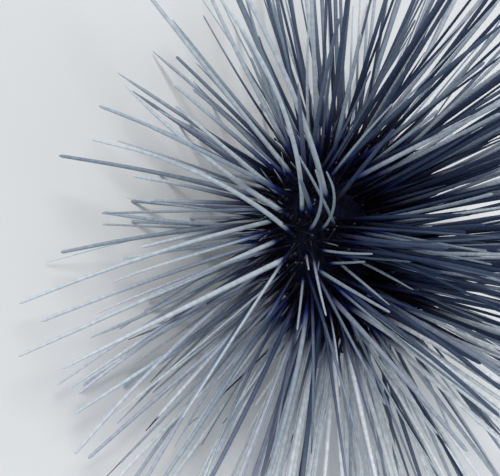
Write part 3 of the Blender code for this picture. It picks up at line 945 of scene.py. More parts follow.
def shaft_outline(length, root_radius, tip_radius, whorl, end, end_length):
    """Distances and radii along a spine: its fleshy foot, milled ring, whorls of teeth and end."""

    def taper(at):
        return blend(root_radius, tip_radius, (at / length) ** TAPER_POWER)

    foot, foot_radii = np.array(ROOT_PROFILE) * root_radius
    foot *= min(1.0, MOST_FOOT_SHARE * length / foot[-1])
    whorl = min(whorl, MOST_WHORL_SHARE * length)
    stop = max(length - end_length, foot[-1] + whorl)
    count = max(1, int((stop - foot[-1]) / whorl))
    lows = blend(foot[-1], stop, np.arange(count) / count)
    highs = lows + (stop - foot[-1]) / count * WHORL_FILL
    whorls = columns(lows, highs).ravel()
    whorl_radii = taper(whorls) * np.tile([1 - WHORL_RELIEF / 2, 1 + WHORL_RELIEF / 2], count)
    ends = blend(stop, length, np.array(end.shares))
    end_radii = np.maximum(taper(stop) * np.array(end.radii), NEEDLE_RADIUS)
    distances = np.concatenate([foot, whorls[1:], ends])
    return distances, np.concatenate([foot_radii, whorl_radii[1:], end_radii])


def ring_faces(count, sides):
    """Quads between the rings of a tube, and the fans to its last two corners, which close its ends."""
    i, j = grid(count - 1, sides)
    after = (j + 1) % sides
    quads = columns(i * sides + j, i * sides + after, (i + 1) * sides + after, (i + 1) * sides + j)
    k = np.arange(sides)
    k_after = (k + 1) % sides
    top, end = (count - 1) * sides, count * sides
    return quads, np.vstack([columns(k_after, k, end), columns(top + k, top + k_after, end + 1)])


def ring_map(heights, sides, left, width, poles):
    """Places on the map for the quads and the fans of a closed tube."""
    i, j = grid(len(heights) - 1, sides)
    start, stop = left + width * j / sides, left + width * (j + 1) / sides
    low, high = heights[i], heights[i + 1]
    quads = columns(start, low, stop, low, stop, high, start, high)
    start, stop = start[:sides], stop[:sides]
    middle = (start + stop) / 2
    below = columns(stop, heights[0], start, heights[0], middle, poles[0])
    above = columns(start, heights[-1], stop, heights[-1], middle, poles[1])
    return quads.reshape(-1, 4, 2), np.vstack([below, above]).reshape(-1, 3, 2)


def turned_over(faces):
    """The same faces, facing the other way."""
    return np.roll(faces[:, ::-1], 1, axis=1)


def new_piece(name, corners, faces, material, marks, places=()):
    """An object on the test's axis, shaded smooth. Materials read its marks, three numbers at each corner."""
    mesh = bpy.data.meshes.new(name)
    mesh.from_pydata(corners.tolist(), [], [face for group in faces for face in group.tolist()])
    if places:
        layer = mesh.uv_layers.new(name="OFBake", do_init=False)
        vectors = np.concatenate([group.ravel() for group in places])
        layer.uv.foreach_set("vector", vectors.astype(np.float32))
    for mark, values in marks.items():
        layer = mesh.attributes.new(mark, "FLOAT_VECTOR", "POINT")
        layer.data.foreach_set("vector", values.astype(np.float32).ravel())
    mesh.materials.append(material)
    mesh.shade_smooth()
    mesh.validate()
    piece = bpy.data.objects.new(name, mesh)
    piece.location = AXIS_PLACE
    bpy.context.scene.collection.objects.link(piece)
    return piece


class Stock:
    """Corners, faces, map and marks of a mesh that is put together from many tubes."""

    def __init__(self):
        self.parts = []
        self.count = 0

    def add_tube(self, stations, radii, sides, twist, corner, growth, looks):
        """A closed round tube along stations, with its patch of the map and its marks."""
        tangents = unit(np.gradient(stations, axis=0))
        reference = np.zeros(3)
        reference[np.argmin(np.abs(stations[-1] - stations[0]))] = 1.0
        first = unit(np.cross(tangents, reference))[:, None, :]
        second = np.cross(tangents[:, None, :], first)
        angles = (twist + np.arange(sides) * math.tau / sides)[None, :, None]
        spokes = first * np.cos(angles) + second * np.sin(angles)
        rings = (stations[:, None, :] + radii[:, None, None] * spokes).reshape(-1, 3)
        tip = stations[-1:] + tangents[-1:] * radii[-1] * TIP_DOME
        quads, fans = ring_faces(len(stations), sides)
        left, bottom = corner
        heights = bottom + PATCH_LENGTH * growth[:, 1]
        marks = (np.vstack([np.repeat(mark, sides, axis=0), mark[:1], mark[-1:]]) for mark in (growth, looks))
        places = ring_map(heights, sides, left, PATCH_WIDTH, heights[[0, -1]])
        corners = np.vstack([rings, stations[:1], tip])
        self.parts.append((corners, quads + self.count, fans + self.count, *places, *marks))
        self.count += len(corners)

    def piece(self, name, material):
        """The finished object. What would reach below the floor ends flat on it."""
        corners, quads, fans, quad_map, fan_map, growth, looks = (np.concatenate(p) for p in zip(*self.parts))
        corners[:, 2] = np.maximum(corners[:, 2], 0.0)
        marks = {"growth": growth, "looks": looks}
        return new_piece(name, corners, (quads, fans), material, marks, (quad_map, fan_map))


class Patches:
    """Places for patches on the map of a stretch of the test, by where each root stands on it."""

    def __init__(self, middle=math.pi / 2, span=math.tau):
        self.middle, self.span = middle, span
        self.taken = []

    def place(self, azimuth, down):
        """Lower left corner of a free patch near a root."""
        off = math.remainder(azimuth - self.middle, math.tau)
        across, up = off / self.span + 0.5, 1 - down
        u = blend(MAP_MARGIN, 1 - MAP_MARGIN, across) - PATCH_WIDTH / 2
        v = blend(MAP_MARGIN, 1 - MAP_MARGIN, up) - PATCH_LENGTH / 2
        kept = PATCH_WIDTH * PATCH_KEPT_WIDTHS
        while any(abs(u - a) < kept and abs(v - b) < PATCH_LENGTH for a, b in self.taken):
            u += PATCH_WIDTH * PATCH_STEP
        self.taken.append((u, v))
        return u, v


def shaft_marks(shaft, length, look, draw):
    """Brightness of a spine at its root and its tip, and the distance over which it turns to grey. The
    brightness is partly the spine's own, varying at random, and partly painted light and shade: low spines on
    some sides are painted brighter, those on the upper side and the dim ones darker.
    """
    # how far up the test a spine stands; there it is painted in shade, and a few are painted brighter as if
    # lit
    upper = min(1.0, max(0.0, (UPPER_DOWN - shaft.down) / UPPER_DOWN * 2))
    fade = draw.uniform(*look.fade)
    if shaft.kind == "held":
        tone = look.tone if length > SHORT_HELD_LENGTH else SHORT_HELD_TONE
        return tone, tone, min(fade, SHORT_FADE_SHARE * length)
    lowness = min(1.0, shaft.down / PAINTED_LIGHT_ROW_SHARE) ** 2
    # painted light: low spines on the pale and lit sides are painted brighter, and may reach a higher tone
    pale = nearness(shaft.azimuth, PAINTED_LIGHT_SIDE) * lowness
    lit = max(nearness(shaft.azimuth, side) for side in LIT_SIDES) * lowness
    tone = draw.gauss(look.tone, look.spread) + PAINTED_LIGHT_RISE * pale + UPPER_LIT_RISE * upper
    # the chance of a dim spine, partly painted shade: higher on the upper side, lower where light is painted
    dim = look.dim * (1 - LESS_DIM * pale) * (1 - LESS_DIM_WHERE_LIT * lit) + UPPER_DIM * upper
    if draw.random() < dim:
        tone *= draw.uniform(*DIMMING)
    most = blend(TONE_LIMIT, 1.0, pale)
    tone = min(most, max(LEAST_TONE, tone))
    tip_tone = max(tone, draw.uniform(*TIP_TONES) * (1 - UPPER_TIP_SHADE * upper) + LIT_TIP_RISE * lit)
    return tone, min(most, tip_tone), min(fade + UPPER_SHADE_FADE * upper, SHORT_FADE_SHARE * length)


def end_of(shaft, look, draw):
    """How a spine ends."""
    chance = draw.random()
    if shaft.kind == "standing":
        return STANDING_END
    blunt = blend(look.blunt, 1.0, BLUNT_RISE * nearness(shaft.azimuth, LIT_SIDES[0]))
    if chance < blunt:
        return BLUNT_END
    needle = look.needle * nearness(shaft.azimuth, NEEDLED_SIDE)
    return BLACK_END if chance < blunt + needle else POINTED_END


def held_slimness(path, length):
    """How slim a held spine is against its solid: the short and the bent ones are slimmest."""
    bend = angle_between(unit(path[1] - path[0]), unit(path[-1] - path[-2]))
    return float(np.interp(length, HELD_LENGTHS, HELD_SLIMNESS) * np.interp(bend, BENDS, BENT_SLIMNESS))


def add_shaft(stock, shaft, patches, draw):
    """One spine, round and whorled."""
    path, travelled = smooth_path(shaft.points)
    length = travelled[-1]
    look = LOOKS[shaft.kind]
    held = shaft.kind == "held"
    fine = shaft.kind in ("slender", "thin", "short")
    slimness = held_slimness(path, length) if held else 1.0
    end = end_of(shaft, look, draw)
    end_length = min(length * MOST_END_SHARE, draw.uniform(*end.length))
    root_radius, tip_radius = shaft.root_radius * slimness, shaft.tip_radius * slimness
    whorl = FINE_WHORL if fine else PRIMARY_WHORL
    distances, radii = shaft_outline(length, root_radius, tip_radius, whorl, end, end_length)
    shares = distances / length
    tone, tip_tone, fade = shaft_marks(shaft, length, look, draw)
    faded = np.clip((distances - FADE_START) / fade, 0.0, MOST_FADE)
    into_end = (distances - (length - end_length * BLACK_FROM)) / (end_length * BLACK_BLEND)
    growth = columns(faded, shares, np.clip(into_end, 0.0, 1.0) * end.blackness)
    tint = 0.0 if held else draw.random()
    black_share = look.black if shaft.kind == "short" else look.black * nearness(shaft.azimuth, NEEDLED_SIDE)
    black = float(draw.random() < black_share)
    # the tone rises from root to tip, partly painted shade near the body
    looks = columns(np.interp(shares, LIFT_SHARES, [tone, tip_tone]), tint, black)
    stations = along_path(path, travelled, distances)
    sides = FINE_SIDES if fine else PRIMARY_SIDES
    corner = patches.place(shaft.azimuth, shaft.down)
    stock.add_tube(stations, radii, sides, draw.uniform(0, math.pi), corner, growth, looks)


def gore_spines(name, gore, shafts, material, draw):
    """Those of the spines that stand on a gore, as one piece."""
    stock, patches = Stock(), Patches(gore.middle, gore.span)
    for shaft in shafts:
        if shaft.gore is gore:
            add_shaft(stock, shaft, patches, draw)
    return stock.piece(name, material)


def make_spines(material):
    """The spines of each gore, and the finer ones between them."""
    draw = random.Random(LOOKS_SEED)
    shafts, thicket = primary_shafts(draw)
    finer = fine_shafts(thicket, draw)
    for gore in GORES:
        piece = gore_spines(f"spines_{gore.name}", gore, shafts, material, draw)
        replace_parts(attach(piece, "root"), gore.name)
        piece = gore_spines(f"fine_spines_{gore.name}", gore, finer, material, draw)
        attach(piece, "root")
    return [*shafts, *finer], thicket


def plug(tree, made, inputs):
    """Gives a shader node its inputs, which are numbers, colours or other nodes' outputs."""
    for name, value in inputs.items():
        if isinstance(value, bpy.types.NodeSocket):
            tree.links.new(value, made.inputs[name])
        else:
            made.inputs[name].default_value = (*value, 1.0) if isinstance(value, tuple) else value
    return made


def make_node(tree, kind, inputs=None, **settings):
    """A shader node with its settings and its inputs."""
    made = tree.nodes.new(kind)
    for name, value in settings.items():
        setattr(made, name, value)
    return plug(tree, made, inputs or {})


def new_material(name, inputs):
    """A material, its tree and its shader with these inputs."""
    material = bpy.data.materials.new(name)
    material.use_nodes = True
    tree = material.node_tree
    return material, tree, plug(tree, tree.nodes["Principled BSDF"], inputs)


def marks_of(tree, name):
    """The three numbers that a mesh holds under a name."""
    source = make_node(tree, "ShaderNodeAttribute", attribute_name=name)
    parts = make_node(tree, "ShaderNodeSeparateXYZ", {"Vector": source.outputs["Vector"]})
    return parts.outputs["X"], parts.outputs["Y"], parts.outputs["Z"]


def between(tree, value, low, high, to_low=0.0, to_high=1.0):
    """A value taken from one range to another, and held inside it."""
    inputs = {"Value": value, "From Min": low, "From Max": high, "To Min": to_low, "To Max": to_high}
    return make_node(tree, "ShaderNodeMapRange", inputs).outputs["Result"]


def ramp(tree, factor, stops):
    """A colour ramp with stops of a place and a colour."""
    made = make_node(tree, "ShaderNodeValToRGB", {"Fac": factor})
    elements = made.color_ramp.elements
    while len(elements) < len(stops):
        elements.new(0.5)
    for element, (place, colour) in zip(elements, stops):
        element.position = place
        element.color = (*colour, 1.0)
    return made.outputs["Color"]


def mixed(tree, factor, first, second, blend_type="MIX"):
    """Two colours mixed by a factor. A mix node's two colours are its inputs 6 and 7."""
    inputs = {0: factor, 6: first, 7: second}
    return make_node(tree, "ShaderNodeMix", inputs, data_type="RGBA", blend_type=blend_type).outputs[2]


def times(tree, colour, other):
    """A colour times another."""
    return mixed(tree, 1.0, colour, other, "MULTIPLY")


def grey(tree, value):
    """A grey of a value."""
    return make_node(tree, "ShaderNodeCombineXYZ", {"X": value, "Y": value, "Z": value}).outputs["Vector"]


def maths(tree, operation, first, second):
    """The result of a sum on two values."""
    return make_node(tree, "ShaderNodeMath", {0: first, 1: second}, operation=operation).outputs[0]


def noise(tree, scale, detail, inputs=None, **settings):
    """A cloudy texture, around 0.5."""
    inputs = {"Scale": scale, "Detail": detail, **(inputs or {})}
    return make_node(tree, "ShaderNodeTexNoise", inputs, **settings).outputs["Fac"]


def bump(tree, height, strength, distance):
    """The shading of a fine relief."""
    inputs = {"Strength": strength, "Distance": distance, "Height": height}
    return make_node(tree, "ShaderNodeBump", inputs).outputs["Normal"]


def spine_material():
    """Silver grey-blue, black at the root with a deep blue band above it, and some black needle points. Dim
    spines have darker roots, partly painted shade.
    """
    material, tree, shader = new_material("spine_shaft", {"Roughness": 0.48, "Specular IOR Level": 0.20})
    faded, share, needle = marks_of(tree, "growth")
    tone, tint, black = marks_of(tree, "looks")
    violet_share = between(tree, tint, *VIOLET_ROOT_TINTS)
    root = mixed(tree, violet_share, ramp(tree, faded, BLUE_ROOT), ramp(tree, faded, VIOLET_ROOT))
    # dim spines' roots are darkened by their tone: partly their own darker colour, partly painted shade deep
    # in the thicket
    root = mixed(tree, between(tree, tone, *DIM_ROOT_TONES), times(tree, root, grey(tree, tone)), root)
    colour = mixed(tree, between(tree, faded, *SHAFT_FADES), root, ramp(tree, tone, SHAFT_TONES))
    tip_share = maths(tree, "POWER", share, TIP_GAIN_POWER)
    colour = mixed(tree, tip_share, colour, times(tree, colour, TIP_GAIN))
    colour = mixed(tree, between(tree, tint, *VIOLET_TINTS), colour, times(tree, colour, VIOLET_GAIN))
    along = maths(tree, "MULTIPLY", share, BANDS_ALONG)
    place = maths(tree, "ADD", along, maths(tree, "MULTIPLY", tone, BANDS_BY_TONE))
    bands = noise(tree, 1.0, 3.0, {"W": place}, noise_dimensions="1D")
    colour = times(tree, colour, grey(tree, between(tree, bands, *NOISE_RANGE, *BAND_SHADES)))
    darkness = maths(tree, "MULTIPLY", maths(tree, "MAXIMUM", black, needle), NEEDLE_COVER)
    colour = mixed(tree, darkness, colour, NEEDLE_BLACK)
    plug(tree, shader, {"Base Color": colour, "Roughness": between(tree, bands, *NOISE_RANGE, *BAND_GLOSS)})
    return material


def skin_profile():
    """Radii, heights and the share down the test of the skin's rings, from the anal cone to the mouth."""
    top, (rim_radius, rim_height) = PROFILE[0][1], PROFILE[-1]
    seat_height = DISC_BOTTOM - 2 * JOINT_GAP
    rings = []
    for share in np.linspace(0, 1, CONE_ROWS):
        radius = CONE_RADIUS * blend(CONE_TIP_SHARE, 1.0, share**CONE_POWER)
        rings.append((radius, blend(CONE_TOP, top, share) - CONE_INSET, CONE_ZONE))
    rings.append((CONE_RADIUS, DISC_BOTTOM, CONE_ZONE))
    rings.append(((CONE_RADIUS + APICAL_RADIUS) / 2, seat_height, CONE_ZONE))
    rings.append((APICAL_RADIUS - SEAT_INSET, seat_height, CONE_ZONE))
    for k, (radius, height) in enumerate(even_profile(SKIN_TEST_ROWS)):
        rings.append((radius, height, k / SKIN_TEST_ROWS))
    for share in np.linspace(0, 1, MEMBRANE_ROWS + 1)[1:]:
        sag = MEMBRANE_SAG * math.sin(math.pi * share)
        height = blend(rim_height, MOUTH_HEIGHT, share) + MEMBRANE_RISE - sag
        rings.append((blend(rim_radius, MOUTH_RADIUS, share), height, 1.0 + share))
    for turn in np.linspace(0, math.pi / 2, LIP_STEPS + 1)[1:]:
        height = MOUTH_HEIGHT + LIP_RISE * (1 - math.cos(turn))
        rings.append((MOUTH_RADIUS - LIP_DEPTH * math.sin(turn), height, MOUTH_ZONE))
    rings.append((MOUTH_RADIUS / 2, MOUTH_HEIGHT + THROAT_RISE, MOUTH_ZONE))
    return np.array(rings).T


def skin_relief(places, downs, azimuths, shafts):
    """How far the skin stands out at each place, and its marks: blue spots, grooves and bosses."""
    radii = np.hypot(places[:, 0], places[:, 1])
    on_test = (downs >= 0) & (downs <= 1)
    rows_down = downs * ROWS
    seam = np.abs(rows_down - np.round(rows_down)) * ROW_LENGTH
    turned = np.mod(azimuths - FRONT_AZIMUTH + AMBULACRUM_SPAN / 2, SECTOR_ANGLE)
    narrow = turned < AMBULACRUM_SPAN
    wide_width = INTERAMBULACRUM_SPAN / INTERAMBULACRUM_COLUMNS
    width = np.where(narrow, AMBULACRUM_SPAN / AMBULACRUM_COLUMNS, wide_width)
    column = np.where(narrow, turned, turned - AMBULACRUM_SPAN) / width
    nearest = np.minimum(seam, np.abs(column - np.round(column)) * width * radii)
    groove = np.where(on_test, np.exp(-((nearest / GROOVE_WIDTH) ** 2)), 0)
    swell = np.where(on_test, PLATE_SWELL * np.clip(nearest / SWELL_WIDTH, 0, 1), 0)
    relief = swell - SKIN_DEPTH - GROOVE_DEPTH * groove
    boss = np.zeros(len(places))
    for shaft in shafts:
        radius = min(MOST_BOSS_RADIUS, shaft.root_radius * BOSS_SPREAD)
        raised = dome(np.linalg.norm(places - shaft.points[0], axis=1) / radius, BOSS_POWER)
        relief += raised * BOSS_HEIGHT * radius / MOST_BOSS_RADIUS
        boss = np.maximum(boss, raised)
    border = np.abs(np.abs(column - INTERAMBULACRUM_COLUMNS / 2) - 1.0) * width * radii
    spots_along = np.abs(np.mod(rows_down * 2, 1.0) - 0.5) * ROW_LENGTH / 2
    spots = np.clip(BLUE_SPOT_EDGE - np.hypot(border, spots_along) / BLUE_SPOT_RADIUS, 0, 1)
    upper = np.clip((BLUE_SPOT_ROWS - rows_down) / BLUE_SPOT_FADE_ROWS, 0, 1)
    blue = np.where(on_test & ~narrow, spots * upper, 0)
    pleats = np.cos(azimuths * CONE_PLEATS) * PLEAT_DEPTH * np.clip(1 - radii / CONE_RADIUS, 0, 1)
    folds = np.cos(azimuths * MEMBRANE_FOLDS + FOLD_TWIST * downs) * FOLD_DEPTH * np.sin(np.pi * (downs - 1))
    relief += np.where(downs < 0, pleats, 0) + np.where((downs > 1) & (downs < MOUTH_ZONE), folds, 0)
    return relief, columns(blue, groove, boss)


def revolved(radii, heights, azimuths):
    """The places of rings round the test's axis, ring by ring."""
    i, j = grid(len(radii), len(azimuths))
    return columns(radii[i] * np.cos(azimuths)[j], radii[i] * np.sin(azimuths)[j], heights[i])


def make_skin(material, shafts):
    """One skin over the anal cone, the test and the membrane round the mouth."""
    radii, heights, downs = skin_profile()
    outline = columns(radii, heights)
    slopes = np.gradient(outline, axis=0)
    slopes /= np.maximum(np.linalg.norm(slopes, axis=1)[:, None], TINY)
    azimuths = np.arange(SKIN_COLUMNS) * math.tau / SKIN_COLUMNS
    places = revolved(radii, heights, azimuths)
    outward = revolved(-slopes[:, 1], slopes[:, 0], azimuths)
    all_downs = np.repeat(downs, SKIN_COLUMNS)
    relief, skin_marks = skin_relief(places, all_downs, np.tile(azimuths, len(radii)), shafts)
    poles = [[0, 0, heights[0] - CONE_POLE_DROP], [0, 0, heights[-1] + THROAT_POLE_RISE]]
    corners = np.vstack([places + outward * relief[:, None], poles])
    zones = np.append(all_downs, [CONE_ZONE, MOUTH_ZONE])
    marks = {"skin": np.vstack([skin_marks, np.zeros((2, 3))]), "zone": columns(zones, zones, zones)}
    travelled = distances_along(outline)
    up = blend(1 - SKIN_MARGIN, SKIN_MARGIN, travelled / travelled[-1])
    faces = [turned_over(group) for group in ring_faces(len(radii), SKIN_COLUMNS)]
    map_places = [turned_over(group) for group in ring_map(up, SKIN_COLUMNS, 0.0, 1.0, (1.0, 0.0))]
    piece = new_piece("test_skin", corners, faces, material, marks, map_places)
    nodes = [gore.name for gore in GORES] + ["anal_cone", "peristome"]
    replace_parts(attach(piece, "root"), *nodes)


def skin_material():
    """Near-black navy skin with darker grooves, faint blue spots and a fine grain."""
    material, tree, shader = new_material("urchin_skin", {"Roughness": 0.55, "Specular IOR Level": 0.06})
    blue, groove, boss = marks_of(tree, "skin")
    zone, _, _ = marks_of(tree, "zone")
    grain = noise(tree, 420.0, 5.0)
    colour = mixed(tree, noise(tree, 70.0, 2.0), *SKIN_HUES)
    colour = mixed(tree, maths(tree, "MULTIPLY", groove, GROOVE_COVER), colour, GROOVE_HUE)
    colour = mixed(tree, maths(tree, "MULTIPLY", boss, BOSS_COVER), colour, BOSS_HUE)
    colour = mixed(tree, between(tree, zone, 1.0, 1.1), colour, MEMBRANE_HUE)
    colour = mixed(tree, between(tree, zone, -0.5, -0.9), colour, CONE_HUE)
    spotted = maths(tree, "MULTIPLY", blue, between(tree, grain, 0.35, 0.55))
    colour = mixed(tree, spotted, colour, BLUE_SPOT_HUE)
    granules = make_node(tree, "ShaderNodeTexVoronoi", {"Scale": 1100.0}).outputs["Distance"]
    normal = bump(tree, maths(tree, "SUBTRACT", grain, granules), 0.35, 0.0002)
    gloss = between(tree, grain, *NOISE_RANGE, *SKIN_GLOSS)
    plug(tree, shader, {"Base Color": colour, "Roughness": gloss, "Normal": normal})
    return material


def add_growth(stock, growth, place, along, length, corner, tone, draw):
    """One soft growth that bends to a side."""
    aside = np.array([draw.gauss(0, 1) for _ in range(3)])
    aside = unit(aside - along * float(aside @ along))
    share = np.unique(np.concatenate([np.linspace(0.0, 1.0, GROWTH_STATIONS), growth.shares]))
    stations = place + np.outer(share, along * length) + np.outer(share**2, aside * length * growth.bend)
    radii = np.interp(share, growth.shares, growth.radii)
    looks = np.tile([tone, draw.random(), 0.0], (len(share), 1))
    twist = draw.uniform(0, math.pi)
    stock.add_tube(stations, radii, PRIMARY_SIDES, twist, corner, columns(share, share, 0.0), looks)


def outward_at(place):
    """Direction away from the middle of the test at a place on it."""
    half_height = ABORAL_HEIGHT if place[2] > AMBITUS_HEIGHT else ORAL_HEIGHT
    rise = (place[2] - AMBITUS_HEIGHT) * (TEST_RADIUS / half_height) ** 2
    return unit(np.array([place[0], place[1], rise]))


def clear_direction(place, length, growth, thicket, draw):
    """A direction about outward in which a growth clears the spines, or nothing."""
    for _ in range(GROWTH_TRIES):
        along = unit(outward_at(place) + np.array([draw.gauss(0, growth.spread) for _ in range(3)]))
        stretch = [place + along * length * GROWTH_ROOT_SHARE, place + along * length]
        if thicket.gap_to(tapered(stretch, growth.width, growth.width)) > GROWTH_GAP:
            return along
    return None


def add_clear_growth(stock, patches, growth, rows_down, azimuth, thicket, draw):
    """A growth on the test, where it finds room between the spines."""
    place = place_on_test(rows_down, azimuth)
    length = draw.uniform(*growth.lengths)
    along = clear_direction(place, length, growth, thicket, draw)
    if along is not None:
        corner = patches.place(azimuth, rows_down / ROWS)
        add_growth(stock, growth, place, along, length, corner, draw.uniform(*growth.tones), draw)


def make_tube_feet(material, thicket, draw):
    """Tube feet in pairs down both sides of each ambulacrum."""
    stock, patches = Stock(), Patches()
    for middle in SECTOR_MIDDLES:
        for row in range(*TUBE_FOOT_ROWS):
            for side in (-1, 1):
                azimuth = middle + side * AMBULACRUM_SPAN * TUBE_FOOT_SIDE
                for down in TUBE_FOOT_PAIR:
                    add_clear_growth(stock, patches, TUBE_FOOT, row + down, azimuth, thicket, draw)
    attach(stock.piece("tube_feet", material), "root")


def make_pedicellariae(material, thicket, draw):
    """Small stalked pincers scattered over the skin."""
    stock, patches = Stock(), Patches()
    for _ in range(PEDICEL_COUNT):
        azimuth = draw.uniform(-math.pi, math.pi)
        rows_down = draw.uniform(*PEDICEL_DOWNS) * ROWS
        add_clear_growth(stock, patches, PEDICEL, rows_down, azimuth, thicket, draw)
    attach(stock.piece("pedicellariae", material), "root")


def make_mouth_growths(material, draw):
    """Five pairs of buccal tube feet on the membrane, and ten tufts of gills at its rim."""
    stock, patches = Stock(), Patches()
    rim_height = PROFILE[-1][1]
    share = (BUCCAL_RADIUS - MOUTH_RADIUS) / (PERISTOME_RADIUS - MOUTH_RADIUS)
    height = blend(MOUTH_HEIGHT, rim_height, share)
    for middle in SECTOR_MIDDLES:
        for side in (-1, 1):
            azimuth = middle + side * BUCCAL_SPREAD
            place = around_axis(BUCCAL_RADIUS, azimuth, height)
            along = unit_vector(azimuth, BUCCAL_ELEVATION)
            corner = patches.place(azimuth, BUCCAL_DOWN)
            add_growth(stock, BUCCAL_FOOT, place, along, BUCCAL_LENGTH, corner, BUCCAL_TONE, draw)
            azimuth = middle + side * AMBULACRUM_SPAN / 2
            place = around_axis(PERISTOME_RADIUS - GILL_INSET, azimuth, rim_height + GILL_RISE)
            for _ in range(GILL_TWIGS):
                heading = azimuth + draw.gauss(0, GILL_SPREAD)
                along = unit_vector(heading, math.radians(draw.uniform(*GILL_ELEVATIONS)))
                length = draw.uniform(*GILL_TWIG.lengths)
                corner = patches.place(azimuth, GILL_DOWN)
                tone = draw.uniform(*GILL_TWIG.tones)
                add_growth(stock, GILL_TWIG, place, along, length, corner, tone, draw)
    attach(stock.piece("buccal_feet_and_gills", material), "root")


def growth_material():
    """Dark violet-blue soft tissue, paler towards the suckers and tips."""
    softness = {"Subsurface Weight": 0.10, "Subsurface Scale": 0.0006}
    gloss = {"Roughness": 0.42, "Specular IOR Level": 0.35}
    material, tree, shader = new_material("soft_growth", {**softness, **gloss})
    _, share, _ = marks_of(tree, "growth")
    tone, _, _ = marks_of(tree, "looks")
    dark = mixed(tree, tone, (0.0012, 0.0014, 0.0050), (0.0060, 0.0056, 0.0130))
    pale = mixed(tree, tone, (0.0080, 0.0080, 0.0160), (0.0320, 0.0290, 0.0400))
    colour = mixed(tree, maths(tree, "POWER", share, 3.0), dark, pale)
    rings = noise(tree, 1600.0, 3.0)
    colour = times(tree, colour, grey(tree, between(tree, rings, *NOISE_RANGE, 0.80, 1.15)))
    plug(tree, shader, {"Base Color": colour, "Normal": bump(tree, rings, 0.3, 0.0001)})
    return material


def plate_relief(radii, turns, shares, sides, kind):
    """Heights of an apical plate and its marks: pores and granules."""
    height, granule = np.zeros_like(radii), np.zeros_like(radii)
    x, y = radii * np.cos(turns), radii * np.sin(turns)
    span = np.max(turns[shares == shares.max()])
    for at, side in GRANULES:
        if kind == "ocular" and abs(side) > OCULAR_GRANULE_REACH:
            continue
        radius = blend(PERIPROCT_RADIUS, DISC_RADIUS, at)
        off = np.hypot(x - radius * math.cos(side * span), y - radius * math.sin(side * span))
        raised = dome(off / GRANULE_RADIUS, GRANULE_POWER)
        height += raised * GRANULE_HEIGHT
        granule = np.maximum(granule, raised)
    pore_radius = PORE_RADIUS * (OCULAR_PORE_SHARE if kind == "ocular" else 1.0)
    off = np.hypot(x - blend(PERIPROCT_RADIUS, DISC_RADIUS, PORE_SHARE), y) / pore_radius
    rim = PORE_RIM * np.exp(-(((off - PORE_RIM_PLACE) / PORE_RIM_WIDTH) ** 2))
    height += PORE_DEPTH * (rim - dome(off, PORE_POWER))
    pore = np.clip(PORE_MARK_REACH - off, 0, 1)
    if kind == "madreporite":
        sieve = np.cos(math.tau * x / SIEVE_PITCH) * np.cos(math.tau * y / SIEVE_PITCH)
        inside = np.clip((off - SIEVE_START) * SIEVE_SLOPE, 0, 1)
        swell = MADREPORITE_SWELL * np.sin(np.pi * shares) * np.cos(sides * math.pi / 2)
        height += SIEVE_DEPTH * sieve * inside + swell
        pore = np.maximum(pore, np.clip(-sieve, 0, 1) * inside * SIEVE_MARK)
    return height, pore, granule


def make_plate(node, middle, span, kind, material):
    """One plate of the apical disc, rounded at its borders, with its pore and granules."""
    steps = PLATE_STEPS * 2 if kind == "madreporite" else PLATE_STEPS
    width = steps + 1
    i, j = grid(width, width)
    shares, sides = i / steps, j / steps * 2 - 1
    inner, outer = PERIPROCT_RADIUS + PLATE_INSET, DISC_RADIUS - PLATE_INSET
    radii = blend(inner, outer, shares)
    half = span / 2 - (JOINT_GAP / 2 + PLATE_INSET) / radii
    turns = sides * half
    border = np.minimum.reduce([radii - inner, outer - radii, (half - np.abs(turns)) * radii])
    rounding = np.clip(border / PLATE_ROUNDING, 0, 1)
    relief, pore, granule = plate_relief(radii, turns, shares, sides, kind)
    fall = DISC_RISE * (DISC_FALL * shares - DISC_FALL_START)
    edge = PLATE_EDGE_DROP * (1 - np.sqrt(1 - (1 - rounding) ** 2))
    heights = PROFILE[0][1] + DISC_RISE - fall - edge + relief * rounding
    upper = columns(radii * np.cos(middle + turns), radii * np.sin(middle + turns), heights)
    lower = columns(upper[:, 0], upper[:, 1], DISC_BOTTOM + PLATE_INSET)
    count = len(upper)
    i, j = grid(steps, steps)
    first = i * width + j
    faces = columns(first, first + width, first + width + 1, first + 1)
    numbers = np.arange(count).reshape(width, width)
    ring = np.concatenate([numbers[0, :-1], numbers[:-1, -1], numbers[-1, :0:-1], numbers[:0:-1, 0]])
    after = np.roll(ring, -1)
    skirt = columns(ring, after, after + count, ring + count)
    marks = columns(pore, granule, rounding)
    marks = {"plate": np.vstack([marks, marks * 0])}
    faces = (faces, faces[:, ::-1] + count, skirt)
    piece = new_piece(f"{node}_plate", np.vstack([upper, lower]), faces, material, marks)
    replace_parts(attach(piece, "root"), node)


def make_apical_plates(material):
    """The ten plates round the anal cone."""
    for number, middle in enumerate(SECTOR_MIDDLES, 1):
        kind = "madreporite" if number == MADREPORITE_SECTOR else "genital"
        node = f"genital_plate_{number}" if kind == "genital" else kind
        make_plate(node, middle + SECTOR_ANGLE / 2, SECTOR_ANGLE - OCULAR_SPAN, kind, material)
        make_plate(f"ocular_plate_{number}", middle, OCULAR_SPAN, "ocular", material)


def plate_material():
    """Near-black plates with a faint blue sheen in the skin between granules, and black pores."""
    material, tree, shader = new_material("apical_plate", {"Roughness": 0.50, "Specular IOR Level": 0.25})
    pore, granule, rounding = marks_of(tree, "plate")
    grain = noise(tree, 900.0, 4.0)
    colour = mixed(tree, grain, (0.0012, 0.0018, 0.0080), (0.0036, 0.0048, 0.0140))
    colour = mixed(tree, granule, colour, (0.0100, 0.0115, 0.0230))
    colour = mixed(tree, pore, colour, (0.0008, 0.0008, 0.0012))
    colour = mixed(tree, between(tree, rounding, 0.0, 1.0, 0.7, 0.0), colour, (0.0030, 0.0080, 0.0300))
    plug(tree, shader, {"Base Color": colour, "Normal": bump(tree, grain, 0.4, 0.00012)})
    return material


